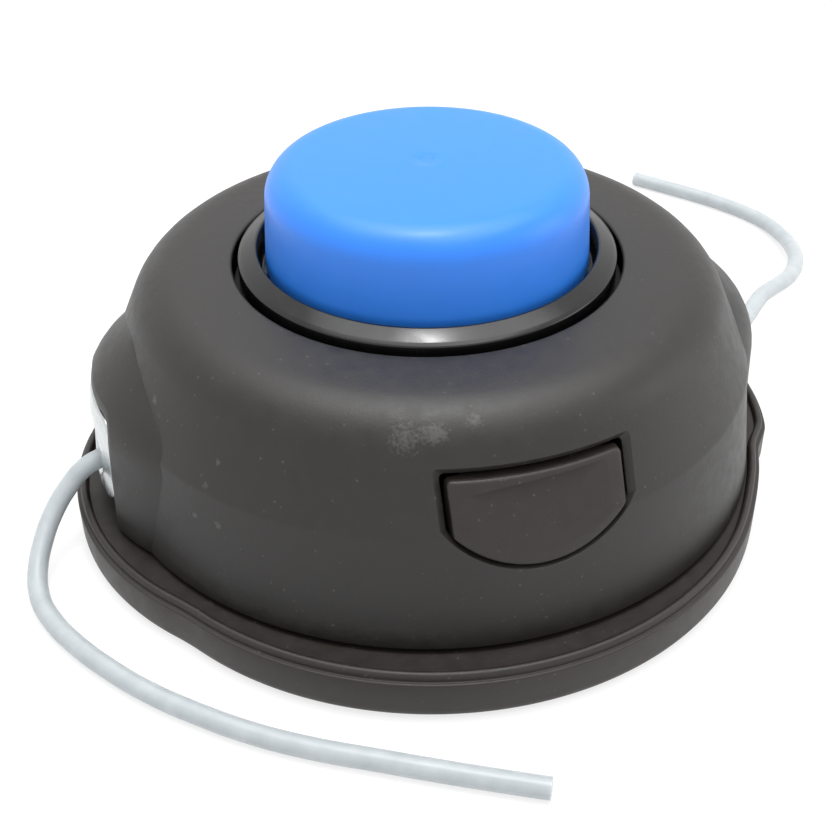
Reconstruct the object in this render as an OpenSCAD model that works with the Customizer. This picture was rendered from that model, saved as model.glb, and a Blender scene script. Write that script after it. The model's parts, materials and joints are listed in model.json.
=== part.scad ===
// Bump-feed trimmer head, standing on the face that bolts to the machine, with its button up.
// Origin at the middle of that face, +Z up through the button, line eyelets on X, latches on Y.

/* [Cover] */
// Radius of the cover at its foot
cover_r = 57; // [55:0.5:70]
// Wall thickness of the cover
cover_wall = 2.5; // [1.8:0.1:2.6]
// Height of the lower band of the cover's wall
lower_band_h = 19; // [15.5:0.5:24]
// How far the lower band leans in over its height
lower_band_lean = 2.3; // [1:0.1:3]
// Height of the upper band of the cover's wall
upper_band_h = 11.2; // [9:0.1:14]
// How far the upper band leans in over its height
upper_band_lean = 5; // [4:0.1:6]
// Radius of the rounded shoulder
shoulder_r = 9.5; // [7:0.5:11]
// Rise of the cover's top towards its opening, in degrees
top_slope = 2.5; // [0:0.5:5]
// Radius of the round opening in the cover's top
opening_r = 32.5; // [31:0.1:36]
// Width of the thick rim inside that opening
rim_w = 3; // [2:0.5:4]
// Depth of that rim below the cover's top face
rim_depth = 4.2; // [3.5:0.1:5]

/* [Line ears] */
// Radius of the rounded nose of each ear
ear_nose_r = 25; // [22:0.5:28]
// How far the ear stands out from the foot of the cover
ear_reach = 1.8; // [1:0.1:3]
// Height of the ear's upright face above the foot of the cover
ear_face_h = 19.5; // [17:0.5:24]
// Height of the ear's rounded top above that face
ear_top_h = 8.5; // [7:0.5:10]
// Radius of the round between the ear's face and its top
ear_round = 6; // [4:0.5:7]

/* [Latches] */
// Half the width of the latch window
latch_half_w = 14.05; // [12:0.05:15]
// Height of the window's upright sides
latch_side_h = 8; // [6:0.5:9]
// Depth of the window's round lower edge below its sides
latch_sag = 6.6; // [5:0.1:8]
// Gap between latch and window at the top and sides
latch_gap = 0.7; // [0.5:0.1:1.5]
// Gap under the latch's round lower edge
latch_seat_gap = 0.35; // [0.2:0.05:0.5]
// Width of the rebate round the window
latch_rebate = 1.1; // [0.6:0.1:1.5]
// Half the width of the springy tongue behind the latch
tongue_half_w = 10; // [7:0.5:11]
// Thickness of that tongue
tongue_t = 2.4; // [1.8:0.1:3]

/* [Base] */
// Height of the skirt's shelf above the mounting face
shelf_z = 7.2; // [6:0.1:9]
// Height of the seat on which the cover stands, above the shelf
seat_step = 0.8; // [0.5:0.1:1.5]
// How far the round skirt stands out from the cover's foot
skirt_reach = 2.4; // [2.4:0.1:5]
// How much further the skirt's lobes stand out
lobe_reach = 4; // [1:0.1:5]
// Direction of each lobe, counted from its eyelet
lobe_turn = 77; // [60:1:90]
// How much further the skirt's ears stand out beside the eyelets
skirt_ear_reach = 4.1; // [2:0.1:5]
// Direction of each skirt ear, counted from its eyelet
skirt_ear_turn = 7; // [0:1:15]
// Angle short of its eyelet at which each skirt ear starts
skirt_ear_start = 22; // [18:1:30]
// Radius of the skirt's rounded lower edge
skirt_round = 2.6; // [1:0.1:3]
// Width of the raised lip on the skirt
lip_w = 1.3; // [1:0.1:2]
// Height of that lip
lip_h = 1.4; // [1:0.1:2]
// Setback of the lip from the skirt's edge
lip_setback = 0.7; // [0.4:0.1:1]
// Thickness of the skirt's upright wall
skirt_wall = 4; // [3.2:0.1:5]
// Thickness of the floor plate
floor_t = 3.4; // [2.5:0.1:4]
// Number of ribs under the floor
rib_count = 12; // [6:2:18]
// Thickness of each rib
rib_t = 1.8; // [1.2:0.1:2.5]

/* [Hub] */
// Radius of the hub
hub_r = 13.5; // [12.6:0.1:15]
// Thread hole radius of the insert
thread_r = 5.2; // [4:0.1:6.5]
// Width across the flats of the hexagonal insert
insert_flats = 17; // [14:0.5:19]
// Length of the insert
insert_len = 18; // [14:1:21]
// Height of the hub's lower face above the mounting face
hub_foot_z = 0.4; // [0.2:0.1:1]
// Number of driving lugs round the hub
lug_count = 6; // [4:1:8]
// Angle that each lug spans
lug_angle = 10; // [6:1:12]
// Height of each lug
lug_h = 3; // [2:0.1:3.2]
// How far each hub lug stands out
lug_reach = 2.8; // [2:0.1:3.5]

/* [Button] */
// Radius of the button at its lower edge
button_r = 26.7; // [24:0.1:27.5]
// How far the button narrows towards its top
button_draft = 0.4; // [0:0.1:1]
// Height of the button's crown above the cover's top edge
button_rise = 16.4; // [14.5:0.1:19]
// Height of the crown over the button's rounded edge
button_crown = 1.4; // [0.5:0.1:2]
// Radius of the button's rounded edge
button_round = 2.4; // [1:0.1:3]
// Wall thickness of the button
button_wall = 2.6; // [2:0.1:3]
// Radial gap between the button and the rim round it
button_gap = 1; // [0.8:0.1:2]
// Radial gap between that rim and the cover's opening
rim_gap = 1; // [0.6:0.1:1.5]
// How far the button travels when it is bumped
travel = 7; // [5:0.5:8]

/* [Spool] */
// Radius of the spool's lower and middle flanges
flange_r = 45; // [40:0.5:46]
// Radius of the spool's upper flange
top_flange_r = 42.5; // [38:0.5:44]
// Thickness of the flanges
flange_t = 1.6; // [1.2:0.1:2]
// Thickness of the spool's core outside the spring
core_wall = 2.4; // [1.8:0.1:3.2]
// Outer radius of the wound line
winding_r = 39; // [30:0.5:40]
// Diameter of the trimmer line
line_d = 3.3; // [2:0.1:3.5]

/* [Spring] */
// Clearance between the spring and the spool's wall inside it
spring_clear = 1.3; // [0.5:0.1:1.6]
// Thickness of the spring's wire
wire_d = 1.8; // [1.2:0.1:2]
// Number of turns
spring_turns = 6; // [5:1:7]
// Thickness of the washer under the spring
washer_t = 1.2; // [0.8:0.1:1.5]

/* [Bearing] */
// Radius of the bearing's bore
bearing_bore_r = 6; // [5:0.5:6]
// Outer radius of the bearing
bearing_r = 14; // [13.5:0.5:16]
// Width of the bearing
bearing_w = 8; // [7:1:8]
// Radius of each ball
ball_r = 2.38; // [2:0.01:2.5]
// Number of balls
ball_count = 8; // [6:1:9]

/* [Eyelets] */
// Height of the eyelet's hole above the mounting face
eyelet_z = 17.8; // [17.8:0.1:19]
// Half the width of the eyelet's body
eyelet_half_w = 8.2; // [7.5:0.1:9]
// Height of the eyelet's lower edge above the mounting face
eyelet_foot_z = 11.6; // [10:0.1:11.6]
// Height of the eyelet's upper edge above the mounting face
eyelet_top_z = 29.2; // [27:0.1:29.5]
// Radius of the corners of the eyelet's body
eyelet_corner_r = 5; // [3:0.1:6]
// Radius of the eyelet's hole
eyelet_hole_r = 4.6; // [3.6:0.1:4.8]
// How far the eyelet stands out of the ear
eyelet_stand = 0.4; // [0:0.1:1]

/* [Hidden] */
$fn = 128;

// Small distances that fits and cuts share
eps = 0.02;
fit = 0.3;
running = 0.4;
over = 5;

// Cover: the places that its profile turns at
seat_z = shelf_z + seat_step;
band_z = seat_z + lower_band_h;
band_r = cover_r - lower_band_lean;
shoulder_z = band_z + upper_band_h;
lower_tilt = atan(lower_band_lean / lower_band_h);
upper_tilt = atan(upper_band_lean / upper_band_h);
top_tilt = 90 - top_slope;
arc_c = [band_r - upper_band_lean - shoulder_r * cos(upper_tilt),
         shoulder_z - shoulder_r * sin(upper_tilt)];
arc_end = arc_c + shoulder_r * [cos(top_tilt), sin(top_tilt)];
cover_top_z = arc_end[1] + (arc_end[0] - opening_r) * tan(top_slope);
rim_z = cover_top_z - rim_depth;

// Ears
ear_x = cover_r + ear_reach - ear_nose_r;
ear_face_z = seat_z + ear_face_h;
eyelet_face_x = ear_x + ear_nose_r + eyelet_stand;

// Skirt: a round middle, two lobes and two ears make its outline
skirt_r = cover_r + skirt_reach;
lobe_shift = 6.4;
lobe_r = skirt_r + lobe_reach - lobe_shift;
skirt_ear_shift = 14.5;
skirt_ear_r = skirt_r + skirt_ear_reach - skirt_ear_shift;
plate_z = shelf_z - floor_t;

// Inside the cover
inner_foot_r = cover_r - cover_wall;
locating_r = inner_foot_r - 1.5;
locating_wall = 2;
locating_h = 8;
seat_in_r = locating_r - locating_wall;

// Latch: its tongue stands inside the spool's clearance circle
latch_top_z = band_z + latch_side_h + 0.6;
latch_corner_z = latch_top_z - latch_side_h;
latch_arc_r = (pow(latch_half_w, 2) + pow(latch_sag, 2)) / (2 * latch_sag);
latch_arc_z = latch_corner_z - latch_sag + latch_arc_r;
tongue_in_y = flange_r + 3;
tongue_slot = 2;

// Stack inside: the spool fills the space between its lower stop and the rim of the cover
washer_top_z = seat_z + washer_t;
spool_z = washer_top_z + 0.6 + travel;
spool_top_z = rim_z - fit;
ceiling_t = 3.2;
spool_bore_r = hub_r + lug_reach + running;
inner_wall = 2.4;
recess_in_r = spool_bore_r + inner_wall;
spring_r = recess_in_r + spring_clear + wire_d / 2;
recess_out_r = spring_r + wire_d / 2 + 1.4;
core_r = recess_out_r + core_wall;
recess_top_z = spool_top_z - ceiling_t;
chamber_h = (spool_top_z - spool_z - 3 * flange_t) / 2;
middle_z = spool_z + flange_t + chamber_h;

// Lugs: the upper ring of the spool stands half a pitch from the lower one
lug_pitch = 360 / lug_count;
lug_gap = 1.5;
hub_top_z = spool_top_z - ceiling_t - travel;
hub_roof_t = 2.5;
spool_lug_h = lug_h - 0.2;
lug_in_r = hub_r + running + 0.1;
lower_lug_turn = lug_pitch - lug_angle - lug_gap - lug_pitch / 4;
upper_lug_turn = lower_lug_turn - lug_pitch / 2;

// Holder, bearing and button, from the spool's top upwards
rim_out_r = opening_r - rim_gap;
rim_in_r = button_r + button_gap;
holder_floor_t = 2.3;
holder_floor_z = spool_top_z + holder_floor_t;
bearing_z = holder_floor_z + 2.5;
bearing_top_z = bearing_z + bearing_w;
shoulder_ring_r = bearing_bore_r + 2.2;
clamp_t = 1.2;
screw_z = bearing_top_z + clamp_t;
screw_r = 2.5;
screw_head_r = 4.8;
screw_head_h = 3;
screw_len = 13;
button_z = holder_floor_z + 1.6;
roof_t = 1.9;
crown_z = max(cover_top_z + button_rise,
              screw_z + screw_head_h + 0.6 + roof_t + button_crown);
edge_z = crown_z - button_crown;
button_top_r = button_r - button_draft;
bearing_boss_w = 2.4;
circlip_t = 1;
race_in_r = bearing_bore_r + 2.4;
race_out_r = bearing_r - 2.4;
ball_ring_r = (bearing_bore_r + bearing_r) / 2;
race_clear = 0.1;
ball_z = bearing_z + bearing_w / 2;

// Eyelet: its back flange sits behind the ear's wall, below the ear's round top
eyelet_flange_w = eyelet_half_w + 1.4;
eyelet_flange_t = 1.8;
eyelet_flange_foot_z = eyelet_foot_z - 1.4;
eyelet_flange_top_z = min(ear_face_z - 1.5, eyelet_top_z + 1.4);
eyelet_flange_x = ear_x + sqrt(pow(ear_nose_r - cover_wall, 2) - pow(eyelet_flange_w, 2))
    - fit - eyelet_flange_t;
eyelet_lip_r = 1.2;

// Route of each line tail, from inside its eyelet down to the ground and along it
left_route = [
    [-51, 0, 15.6], [-55, -0.3, 15.4], [-58.5, -0.7, 15.05], [-61.5, -1.2, 13.9],
    [-64.5, -2.4, 11.6], [-67.5, -4.9, 9], [-70, -8.4, 6.2], [-71.7, -12.8, 3.8],
    [-72, -18, 2.3], [-70.7, -23, 1.7], [-67.8, -29.5, 1.7], [-63.5, -36.5, 1.7],
    [-58.3, -43.4, 1.7], [-52.2, -49.8, 1.7], [-45.3, -56, 1.7], [-37.5, -61.6, 1.7],
    [-29.3, -66.5, 1.7], [-21, -71.4, 1.7], [-14.3, -75.2, 1.7], [-7.8, -78.8, 1.7]];
right_route = [
    [51, 0, 15.6], [55, 0.3, 15.4], [58.5, 0.7, 15.2], [62, 1.8, 15],
    [65.5, 4.2, 14.6], [69, 7.6, 13.9], [73, 11.8, 13.1], [77, 15.8, 12.2],
    [81.5, 19.4, 11], [86, 22.8, 9.8], [90.8, 27, 8.5], [95.3, 32.3, 7.2],
    [99.5, 38.8, 5.6], [102.8, 46, 4], [104.9, 53.6, 2.6], [105.4, 61, 1.8],
    [103.9, 66.8, 1.7], [101, 72.8, 1.7], [97.5, 78.6, 1.7], [93.3, 84.4, 1.7],
    [86.4, 93.6, 1.7]];

// Points along an arc round c, from angle a to angle b
function arc(c, r, a, b, n = 12) =
    [for (i = [0:n]) c + r * [cos(a + (b - a) * i / n), sin(a + (b - a) * i / n)]];

// Outside of the cover, from its foot to its opening, set in by d
function dome_line(d) =
    let (turn = arc(arc_c, shoulder_r - d, upper_tilt, top_tilt, 16), last = turn[16])
    concat([[cover_r - d / cos(lower_tilt), seat_z], [band_r - d / cos(lower_tilt), band_z]],
           turn, [[0, last[1] + last[0] * tan(top_slope)]]);

// Solid inside the cover's outer face, set in by d and let down by drop at its foot
module dome_solid(d = 0, drop = 0) {
    rotate_extrude() polygon(concat([[0, seat_z]], dome_line(d)));
    if (drop > 0)
        translate([0, 0, seat_z - drop]) cylinder(r = cover_r - d / cos(lower_tilt), h = drop + eps);
}

// Solid of one ear: a round nose with a sloping top that runs into the wall
module ear_solid(d = 0, drop = 0) {
    turn = arc([ear_nose_r - ear_round, ear_face_z], ear_round - d, 0, 60);
    top = ear_face_z + ear_top_h - d;
    translate([ear_x, 0, 0])
        rotate_extrude()
            polygon(concat([[0, seat_z - drop], [ear_nose_r - d, seat_z - drop]], turn,
                           [[turn[12][0] - (top - turn[12][1]) / tan(30), top], [0, top]]));
}

// Shape of the latch window in its own plane, grown by g
module latch_shape(g = 0, foot_g = 0) {
    intersection() {
        translate([0, latch_arc_z]) circle(latch_arc_r + foot_g);
        translate([-latch_half_w - g, latch_corner_z - 2 * latch_sag])
            square([2 * (latch_half_w + g), latch_side_h + 2 * latch_sag + g]);
    }
}

// Latch shape run out along Y, from y0 to y1
module latch_prism(y0, y1, g = 0, foot_g = 0) {
    translate([0, y1, 0]) rotate([90, 0, 0])
        linear_extrude(y1 - y0) latch_shape(g, foot_g);
}

// Plate with round corners that stands across X, from x0 to x1
module upright(half_w, foot_z, top_z, corner, x0, x1) {
    side = half_w - corner;
    translate([x0, 0, 0]) rotate([90, 0, 90]) linear_extrude(x1 - x0)
        polygon(concat(arc([side, foot_z + corner], corner, -90, 0),
                       arc([side, top_z - corner], corner, 0, 90),
                       arc([-side, top_z - corner], corner, 90, 180),
                       arc([-side, foot_z + corner], corner, 180, 270)));
}

// Slot that each ear keeps open for its eyelet, down to the cover's foot
module eyelet_slot() {
    upright(eyelet_half_w + fit, seat_z - 2 * over, eyelet_top_z + fit, eyelet_corner_r + fit,
            ear_x, eyelet_face_x + over);
}

// Round body of the skirt, of radius r
module skirt_disc(r) {
    rotate_extrude()
        polygon(concat([[0, 0], [r - skirt_round, 0]],
                       arc([r - skirt_round, skirt_round], skirt_round, -90, 0, 6),
                       [[r, shelf_z], [0, shelf_z]]));
}

// Half plane that a skirt ear starts at, set in by d
module ear_side(d = 0) {
    rotate(-skirt_ear_start) translate([-cover_r, d]) square([3 * cover_r, 2 * cover_r]);
}

// Moves its children out by a distance in a direction
module out_at(turn, shift) {
    translate(shift * [cos(turn), sin(turn), 0]) children();
}

// Outline of the skirt in plan, set in by d
module skirt_outline(d = 0) {
    circle(skirt_r - d);
    for (side = [0, 180]) rotate(side) {
        out_at(lobe_turn, lobe_shift) circle(lobe_r - d);
        intersection() {
            out_at(skirt_ear_turn, skirt_ear_shift) circle(skirt_ear_r - d);
            ear_side(d);
        }
    }
}

// Solid skirt, its lower edge rounded all the way round
module skirt_solid() {
    skirt_disc(skirt_r);
    for (side = [0, 180]) rotate([0, 0, side]) {
        out_at(lobe_turn, lobe_shift) skirt_disc(lobe_r);
        intersection() {
            out_at(skirt_ear_turn, skirt_ear_shift) skirt_disc(skirt_ear_r);
            linear_extrude(shelf_z) ear_side();
        }
    }
}

// Ring of lugs between radii r0 and r1, its first lug centred at turn
module lug_ring(r0, r1, z, h, turn) {
    for (i = [0:lug_count - 1])
        rotate([0, 0, turn - lug_angle / 2 + i * lug_pitch])
            rotate_extrude(angle = lug_angle) translate([r0, z]) square([r1 - r0, h]);
}

// Flat ring
module ring(r_in, r_out, z, h) {
    rotate_extrude() translate([r_in, z]) square([r_out - r_in, h]);
}

// Hub with its hexagonal pocket below, its open top and its driving lugs
module hub() {
    difference() {
        union() {
            translate([0, 0, hub_foot_z]) cylinder(r = hub_r, h = hub_top_z - hub_foot_z);
            lug_ring(hub_r - 1, hub_r + lug_reach, hub_top_z - lug_h, lug_h, 0);
        }
        translate([0, 0, hub_foot_z - over])
            cylinder(d = insert_flats / cos(30) + 2 * eps, h = insert_len + over + eps, $fn = 6);
        translate([0, 0, hub_foot_z]) cylinder(r = thread_r + 1.3, h = hub_top_z - hub_roof_t - hub_foot_z);
    }
}

// Springy tongue and the latch head that fills its window
module latch() {
    head_in = tongue_in_y - tongue_t;
    translate([-tongue_half_w, tongue_in_y - eps, plate_z])
        cube([2 * tongue_half_w, tongue_t, latch_corner_z - plate_z]);
    intersection() {
        latch_prism(tongue_in_y, cover_r + over, -latch_gap, -latch_seat_gap);
        union() {
            dome_solid();
            translate([-latch_half_w, 0, 0])
                cube([2 * latch_half_w, tongue_in_y + tongue_t, latch_top_z]);
        }
    }
}

// Wall inside the cover's foot, open at the latches, with a saddle under each eyelet
module locating_wall() {
    saddle_w = eyelet_flange_w + 1.5;
    difference() {
        union() {
            ring(seat_in_r, locating_r, plate_z, seat_z + locating_h - plate_z);
            for (side = [0, 180]) rotate([0, 0, side])
                intersection() {
                    ear_solid(cover_wall + fit);
                    translate([locating_r - 1, -saddle_w, 0])
                        cube([eyelet_face_x, 2 * saddle_w, eyelet_z - 1]);
                }
        }
        for (side = [0, 180]) rotate([0, 0, side]) {
            translate([-tongue_half_w - tongue_slot, 0, seat_z])
                cube([2 * (tongue_half_w + tongue_slot), cover_r, locating_h + over]);
            upright(eyelet_half_w + fit, eyelet_foot_z - fit, cover_r, eyelet_corner_r + fit,
                    seat_in_r - over, cover_r + over);
            upright(eyelet_flange_w + fit, eyelet_flange_foot_z - fit, cover_r, eyelet_corner_r + fit,
                    seat_in_r - over, eyelet_flange_x + eyelet_flange_t + fit);
        }
    }
}

// Ribs under the floor, from the hub to the skirt's wall
module ribs() {
    translate([0, 0, hub_foot_z]) linear_extrude(plate_z - hub_foot_z + eps) intersection() {
        skirt_outline(skirt_wall - 0.5);
        for (i = [0:rib_count - 1])
            rotate((i + 0.5) * 360 / rib_count)
                translate([hub_r - 1, -rib_t / 2]) square([cover_r, rib_t]);
    }
}

module upper_housing() color("#33322f") {
    difference() {
        union() {
            difference() {
                skirt_solid();
                translate([0, 0, -over]) linear_extrude(plate_z + over) skirt_outline(skirt_wall);
            }
            translate([0, 0, shelf_z - eps]) linear_extrude(lip_h + eps) difference() {
                skirt_outline(lip_setback);
                skirt_outline(lip_setback + lip_w);
            }
            translate([0, 0, plate_z]) cylinder(r = inner_foot_r + 0.8, h = seat_z - plate_z);
            ribs();
            locating_wall();
            for (side = [0, 180]) rotate([0, 0, side]) latch();
        }
        translate([0, 0, hub_foot_z - over]) cylinder(r = hub_r - 1, h = seat_z + 2 * over);
    }
    hub();
}

module threaded_insert() color("#9a9ca0") {
    difference() {
        translate([0, 0, hub_foot_z])
            cylinder(d = insert_flats / cos(30), h = insert_len, $fn = 6);
        translate([0, 0, -over]) cylinder(r = thread_r, h = insert_len + 2 * over);
    }
}

module cover() color("#3c3a38") {
    difference() {
        union() {
            difference() {
                union() {
                    dome_solid();
                    for (side = [0, 180]) rotate([0, 0, side]) ear_solid();
                }
                dome_solid(cover_wall, over);
                for (side = [0, 180]) rotate([0, 0, side]) ear_solid(cover_wall, over);
            }
            ring(opening_r, opening_r + rim_w, rim_z, cover_top_z - rim_z - 1);
        }
        translate([0, 0, rim_z - over]) cylinder(r = opening_r, h = cover_top_z);
        for (side = [0, 180]) rotate([0, 0, side]) {
            latch_prism(tongue_in_y - over, cover_r + over);
            difference() {
                latch_prism(tongue_in_y - over, cover_r + over, latch_rebate, latch_rebate / 3);
                dome_solid(0.7);
            }
            eyelet_slot();
        }
    }
}

// Upright bush whose face follows the ear's nose, with a flange behind and a rounded mouth
module eyelet() {
    difference() {
        union() {
            intersection() {
                upright(eyelet_half_w, eyelet_foot_z, eyelet_top_z, eyelet_corner_r,
                        eyelet_flange_x, eyelet_face_x + over);
                translate([ear_x, 0, 0]) cylinder(r = ear_nose_r + eyelet_stand, h = cover_top_z);
            }
            upright(eyelet_flange_w, eyelet_flange_foot_z, eyelet_flange_top_z, eyelet_corner_r,
                    eyelet_flange_x, eyelet_flange_x + eyelet_flange_t);
        }
        translate([0, 0, eyelet_z]) rotate([0, 90, 0]) rotate_extrude()
            polygon(concat(
                [[0, eyelet_flange_x - over], [eyelet_hole_r, eyelet_flange_x - over]],
                arc([eyelet_hole_r + eyelet_lip_r, eyelet_face_x - eyelet_lip_r], eyelet_lip_r, 180, 90, 8),
                [[eyelet_hole_r + eyelet_lip_r, eyelet_face_x + over], [0, eyelet_face_x + over]]));
    }
}

module eyelet_left() color("#c9cccf") rotate([0, 0, 180]) eyelet();

module eyelet_right() color("#c9cccf") eyelet();

// Round tube swept along a list of points, closed at both ends
module tube(route, d, sides = 8) {
    n = len(route);
    function unit(v) = v / norm(v);
    heading = [for (i = [0:n - 1]) unit(route[min(i + 1, n - 1)] - route[max(i - 1, 0)])];
    rings = [for (i = [0:n - 1])
        let (side = unit(cross(heading[i], [0, 0, 1])), rise = cross(side, heading[i]))
        for (k = [0:sides - 1])
            route[i] + d / 2 * (cos(k * 360 / sides) * rise + sin(k * 360 / sides) * side)];
    walls = [for (i = [0:n - 2], k = [0:sides - 1])
        let (a = i * sides + k, b = i * sides + (k + 1) % sides)
        [a, b, b + sides, a + sides]];
    polyhedron(rings, concat(walls, [[for (k = [sides - 1:-1:0]) k],
                                     [for (k = [0:sides - 1]) (n - 1) * sides + k]]));
}

module line_tail_left() color("#b9bfc4") tube(left_route, line_d);

module line_tail_right() color("#b9bfc4") tube(right_route, line_d);

module spring_washer() color("#8f9296")
    ring(recess_in_r + 0.2, recess_out_r + 0.4, seat_z + eps, washer_t - eps);

// Compression spring: closed end turns, open turns between them
module spring() {
    steps = 20;
    z0 = washer_top_z + wire_d / 2 + 0.05;
    z1 = recess_top_z - wire_d / 2 - 0.05;
    close = wire_d + 0.15;
    pitch = (z1 - z0 - 2 * close) / (spring_turns - 2);
    function height(t) = t < 1 ? z0 + close * t
        : t > spring_turns - 1 ? z1 - close * (spring_turns - t)
        : z0 + close + pitch * (t - 1);
    color("#a6a9ad")
        tube([for (i = [0:spring_turns * steps])
                  let (t = i / steps)
                  [spring_r * cos(360 * t), spring_r * sin(360 * t), height(t)]], wire_d);
}

// Notch in a flange's rim that parks the line
module park_notch(turn, z) {
    rotate([0, 0, turn]) translate([flange_r - 5, 0, z - over])
        union() {
            cylinder(r = line_d / 2 + 0.2, h = flange_t + 2 * over);
            translate([0, -line_d / 2 + 0.3, 0]) cube([2 * over, line_d - 0.6, flange_t + 2 * over]);
        }
}

module spool() color("#57585a") {
    difference() {
        union() {
            ring(spool_bore_r, core_r, spool_z, spool_top_z - spool_z);
            ring(core_r - 1, flange_r, spool_z, flange_t);
            ring(core_r - 1, flange_r, middle_z, flange_t);
            ring(core_r - 1, top_flange_r, spool_top_z - flange_t, flange_t);
        }
        ring(recess_in_r, recess_out_r, spool_z - over, recess_top_z - spool_z + over);
        for (turn = [20, 200]) park_notch(turn, spool_z);
        for (turn = [80, 260]) park_notch(turn, middle_z);
    }
    lug_ring(lug_in_r, spool_bore_r + 0.5, hub_top_z - lug_h + 0.1, spool_lug_h, lower_lug_turn);
    lug_ring(lug_in_r, spool_bore_r + 0.5, recess_top_z - lug_h, lug_h + 0.5, upper_lug_turn);
    ring(hub_r + running, spool_bore_r + 0.5, recess_top_z, ceiling_t);
}

// Wound line that fills a chamber, its turns showing on the outside
module winding(z) {
    turns = max(1, round(chamber_h / line_d));
    bulge = chamber_h / turns / 2;
    rotate_extrude()
        polygon(concat(
            [[core_r + eps, z + eps]],
            [for (i = [0:turns - 1]) each
                arc([winding_r - bulge, z + (2 * i + 1) * bulge], bulge - eps, -85, 85, 6)],
            [[core_r + eps, z + chamber_h - eps]]));
}

module winding_lower() color("#b9bfc4") winding(spool_z + flange_t);

module winding_upper() color("#b9bfc4") winding(middle_z + flange_t);

// Dish under the button: a broad sloping rim, a floor and the post of the bearing
module button_holder() color("#1c1c1c") {
    rim_side_z = cover_top_z + 1;
    rim_top_z = cover_top_z + 2.1;
    difference() {
        rotate_extrude()
            polygon([[0, spool_top_z], [rim_out_r, spool_top_z], [rim_out_r, rim_side_z - 0.6],
                     [rim_out_r - 0.4, rim_side_z], [rim_in_r + 0.6, rim_top_z], [rim_in_r, rim_top_z - 0.5],
                     [rim_in_r, holder_floor_z], [shoulder_ring_r, holder_floor_z],
                     [shoulder_ring_r, bearing_z], [bearing_bore_r - eps, bearing_z],
                     [bearing_bore_r - eps, bearing_top_z - 0.2], [0, bearing_top_z - 0.2]]);
        translate([0, 0, screw_z - screw_len]) cylinder(r = screw_r, h = screw_len + over);
    }
}

// Ring of a ball bearing from r0 to r1, with the balls' groove cut in it
module race(r0, r1) {
    difference() {
        ring(r0, r1, bearing_z, bearing_w);
        rotate_extrude() translate([ball_ring_r, ball_z]) circle(ball_r + race_clear, $fn = 48);
    }
}

module bearing_inner_ring() color("#b4b7ba") race(bearing_bore_r, race_in_r);

module bearing_outer_ring() color("#b4b7ba") race(race_out_r, bearing_r);

module bearing_shields() color("#8c8f93")
    for (z = [bearing_z + 0.3, bearing_top_z - 0.7]) ring(race_in_r + fit, race_out_r - eps, z, 0.4);

// Places of the balls round the bearing
module each_ball() {
    for (i = [0:ball_count - 1])
        rotate([0, 0, i * 360 / ball_count]) translate([ball_ring_r, 0, ball_z]) children();
}

module bearing_cage() color("#7d6a45") {
    difference() {
        ring(ball_ring_r - 0.8, ball_ring_r + 0.8, ball_z - 2.6, 5.2);
        each_ball() sphere(r = ball_r + 0.15, $fn = 48);
    }
}

module bearing_balls() color("#c9cccf") each_ball() sphere(r = ball_r, $fn = 32);

module holder_washer() color("#8f9296") ring(screw_r + 0.2, race_in_r - 0.4, bearing_top_z, clamp_t - eps);

module button_screw() color("#8f9296") {
    difference() {
        union() {
            translate([0, 0, screw_z - screw_len + 0.5]) cylinder(r = screw_r - eps, h = screw_len);
            translate([0, 0, screw_z])
                rotate_extrude()
                    polygon(concat([[0, 0], [screw_head_r, 0]],
                                   arc([screw_head_r - 1.5, screw_head_h - 1.5], 1.5, 0, 90, 6),
                                   [[0, screw_head_h]]));
        }
        translate([0, 0, screw_z + screw_head_h - 1.8]) cylinder(d = 4.6, h = over, $fn = 6);
    }
}

// Blue cap: a domed shell, a boss round the bearing and the ribs between them
module button_cap() color("#2f7fe0") {
    boss_r = bearing_r + bearing_boss_w;
    boss_z = bearing_z - circlip_t - 1;
    roof_z = edge_z - roof_t;
    crown_r = (pow(button_top_r, 2) + pow(button_crown, 2)) / (2 * button_crown);
    edge_c = [button_top_r - button_round, edge_z - button_round + 0.2];
    difference() {
        union() {
            difference() {
                rotate_extrude()
                    polygon(concat(
                        [[0, button_z], [button_r - 0.4, button_z], [button_r, button_z + 0.4]],
                        arc(edge_c, button_round, 1, 82, 8),
                        [for (r = [button_top_r - 5:-5:1])
                            [r, crown_z - crown_r + sqrt(pow(crown_r, 2) - r * r)]],
                        [[0, crown_z]]));
                translate([0, 0, button_z - over])
                    cylinder(r = button_r - button_wall, h = roof_z - button_z + over);
            }
            ring(bearing_r - 1.2, boss_r, boss_z, roof_z - boss_z + eps);
            for (i = [0:5]) rotate([0, 0, i * 60])
                translate([boss_r - 1, -0.8, bearing_z])
                    cube([button_r - button_wall - boss_r + 1.5, 1.6, roof_z - bearing_z + eps]);
        }
        translate([0, 0, boss_z - over])
            cylinder(r = bearing_r + eps, h = bearing_top_z - boss_z + over);
        ring(bearing_r - 1, bearing_r + 0.9, bearing_z - circlip_t - 2 * eps, circlip_t + 4 * eps);
    }
}

// Spring ring that keeps the bearing in the button
module button_circlip() color("#8f9296") {
    rotate([0, 0, 20]) rotate_extrude(angle = 320)
        translate([bearing_r - 1.2, bearing_z - circlip_t - eps]) square([1.9, circlip_t]);
}

upper_housing();
threaded_insert();
cover();
eyelet_left();
eyelet_right();
line_tail_left();
line_tail_right();
spring_washer();
spring();
spool();
winding_lower();
winding_upper();
button_holder();
bearing_inner_ring();
bearing_outer_ring();
bearing_shields();
bearing_cage();
bearing_balls();
holder_washer();
button_screw();
button_cap();
button_circlip();
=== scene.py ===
"""Trimmer head on a pale floor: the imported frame, dressed as the moulded and metal parts it is.

Lengths in the classes are millimetres, in the frame's own axes: Z up through the button,
line eyelets on X, latches on Y. Every finished mesh is brought to metres by one function.
"""

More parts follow.
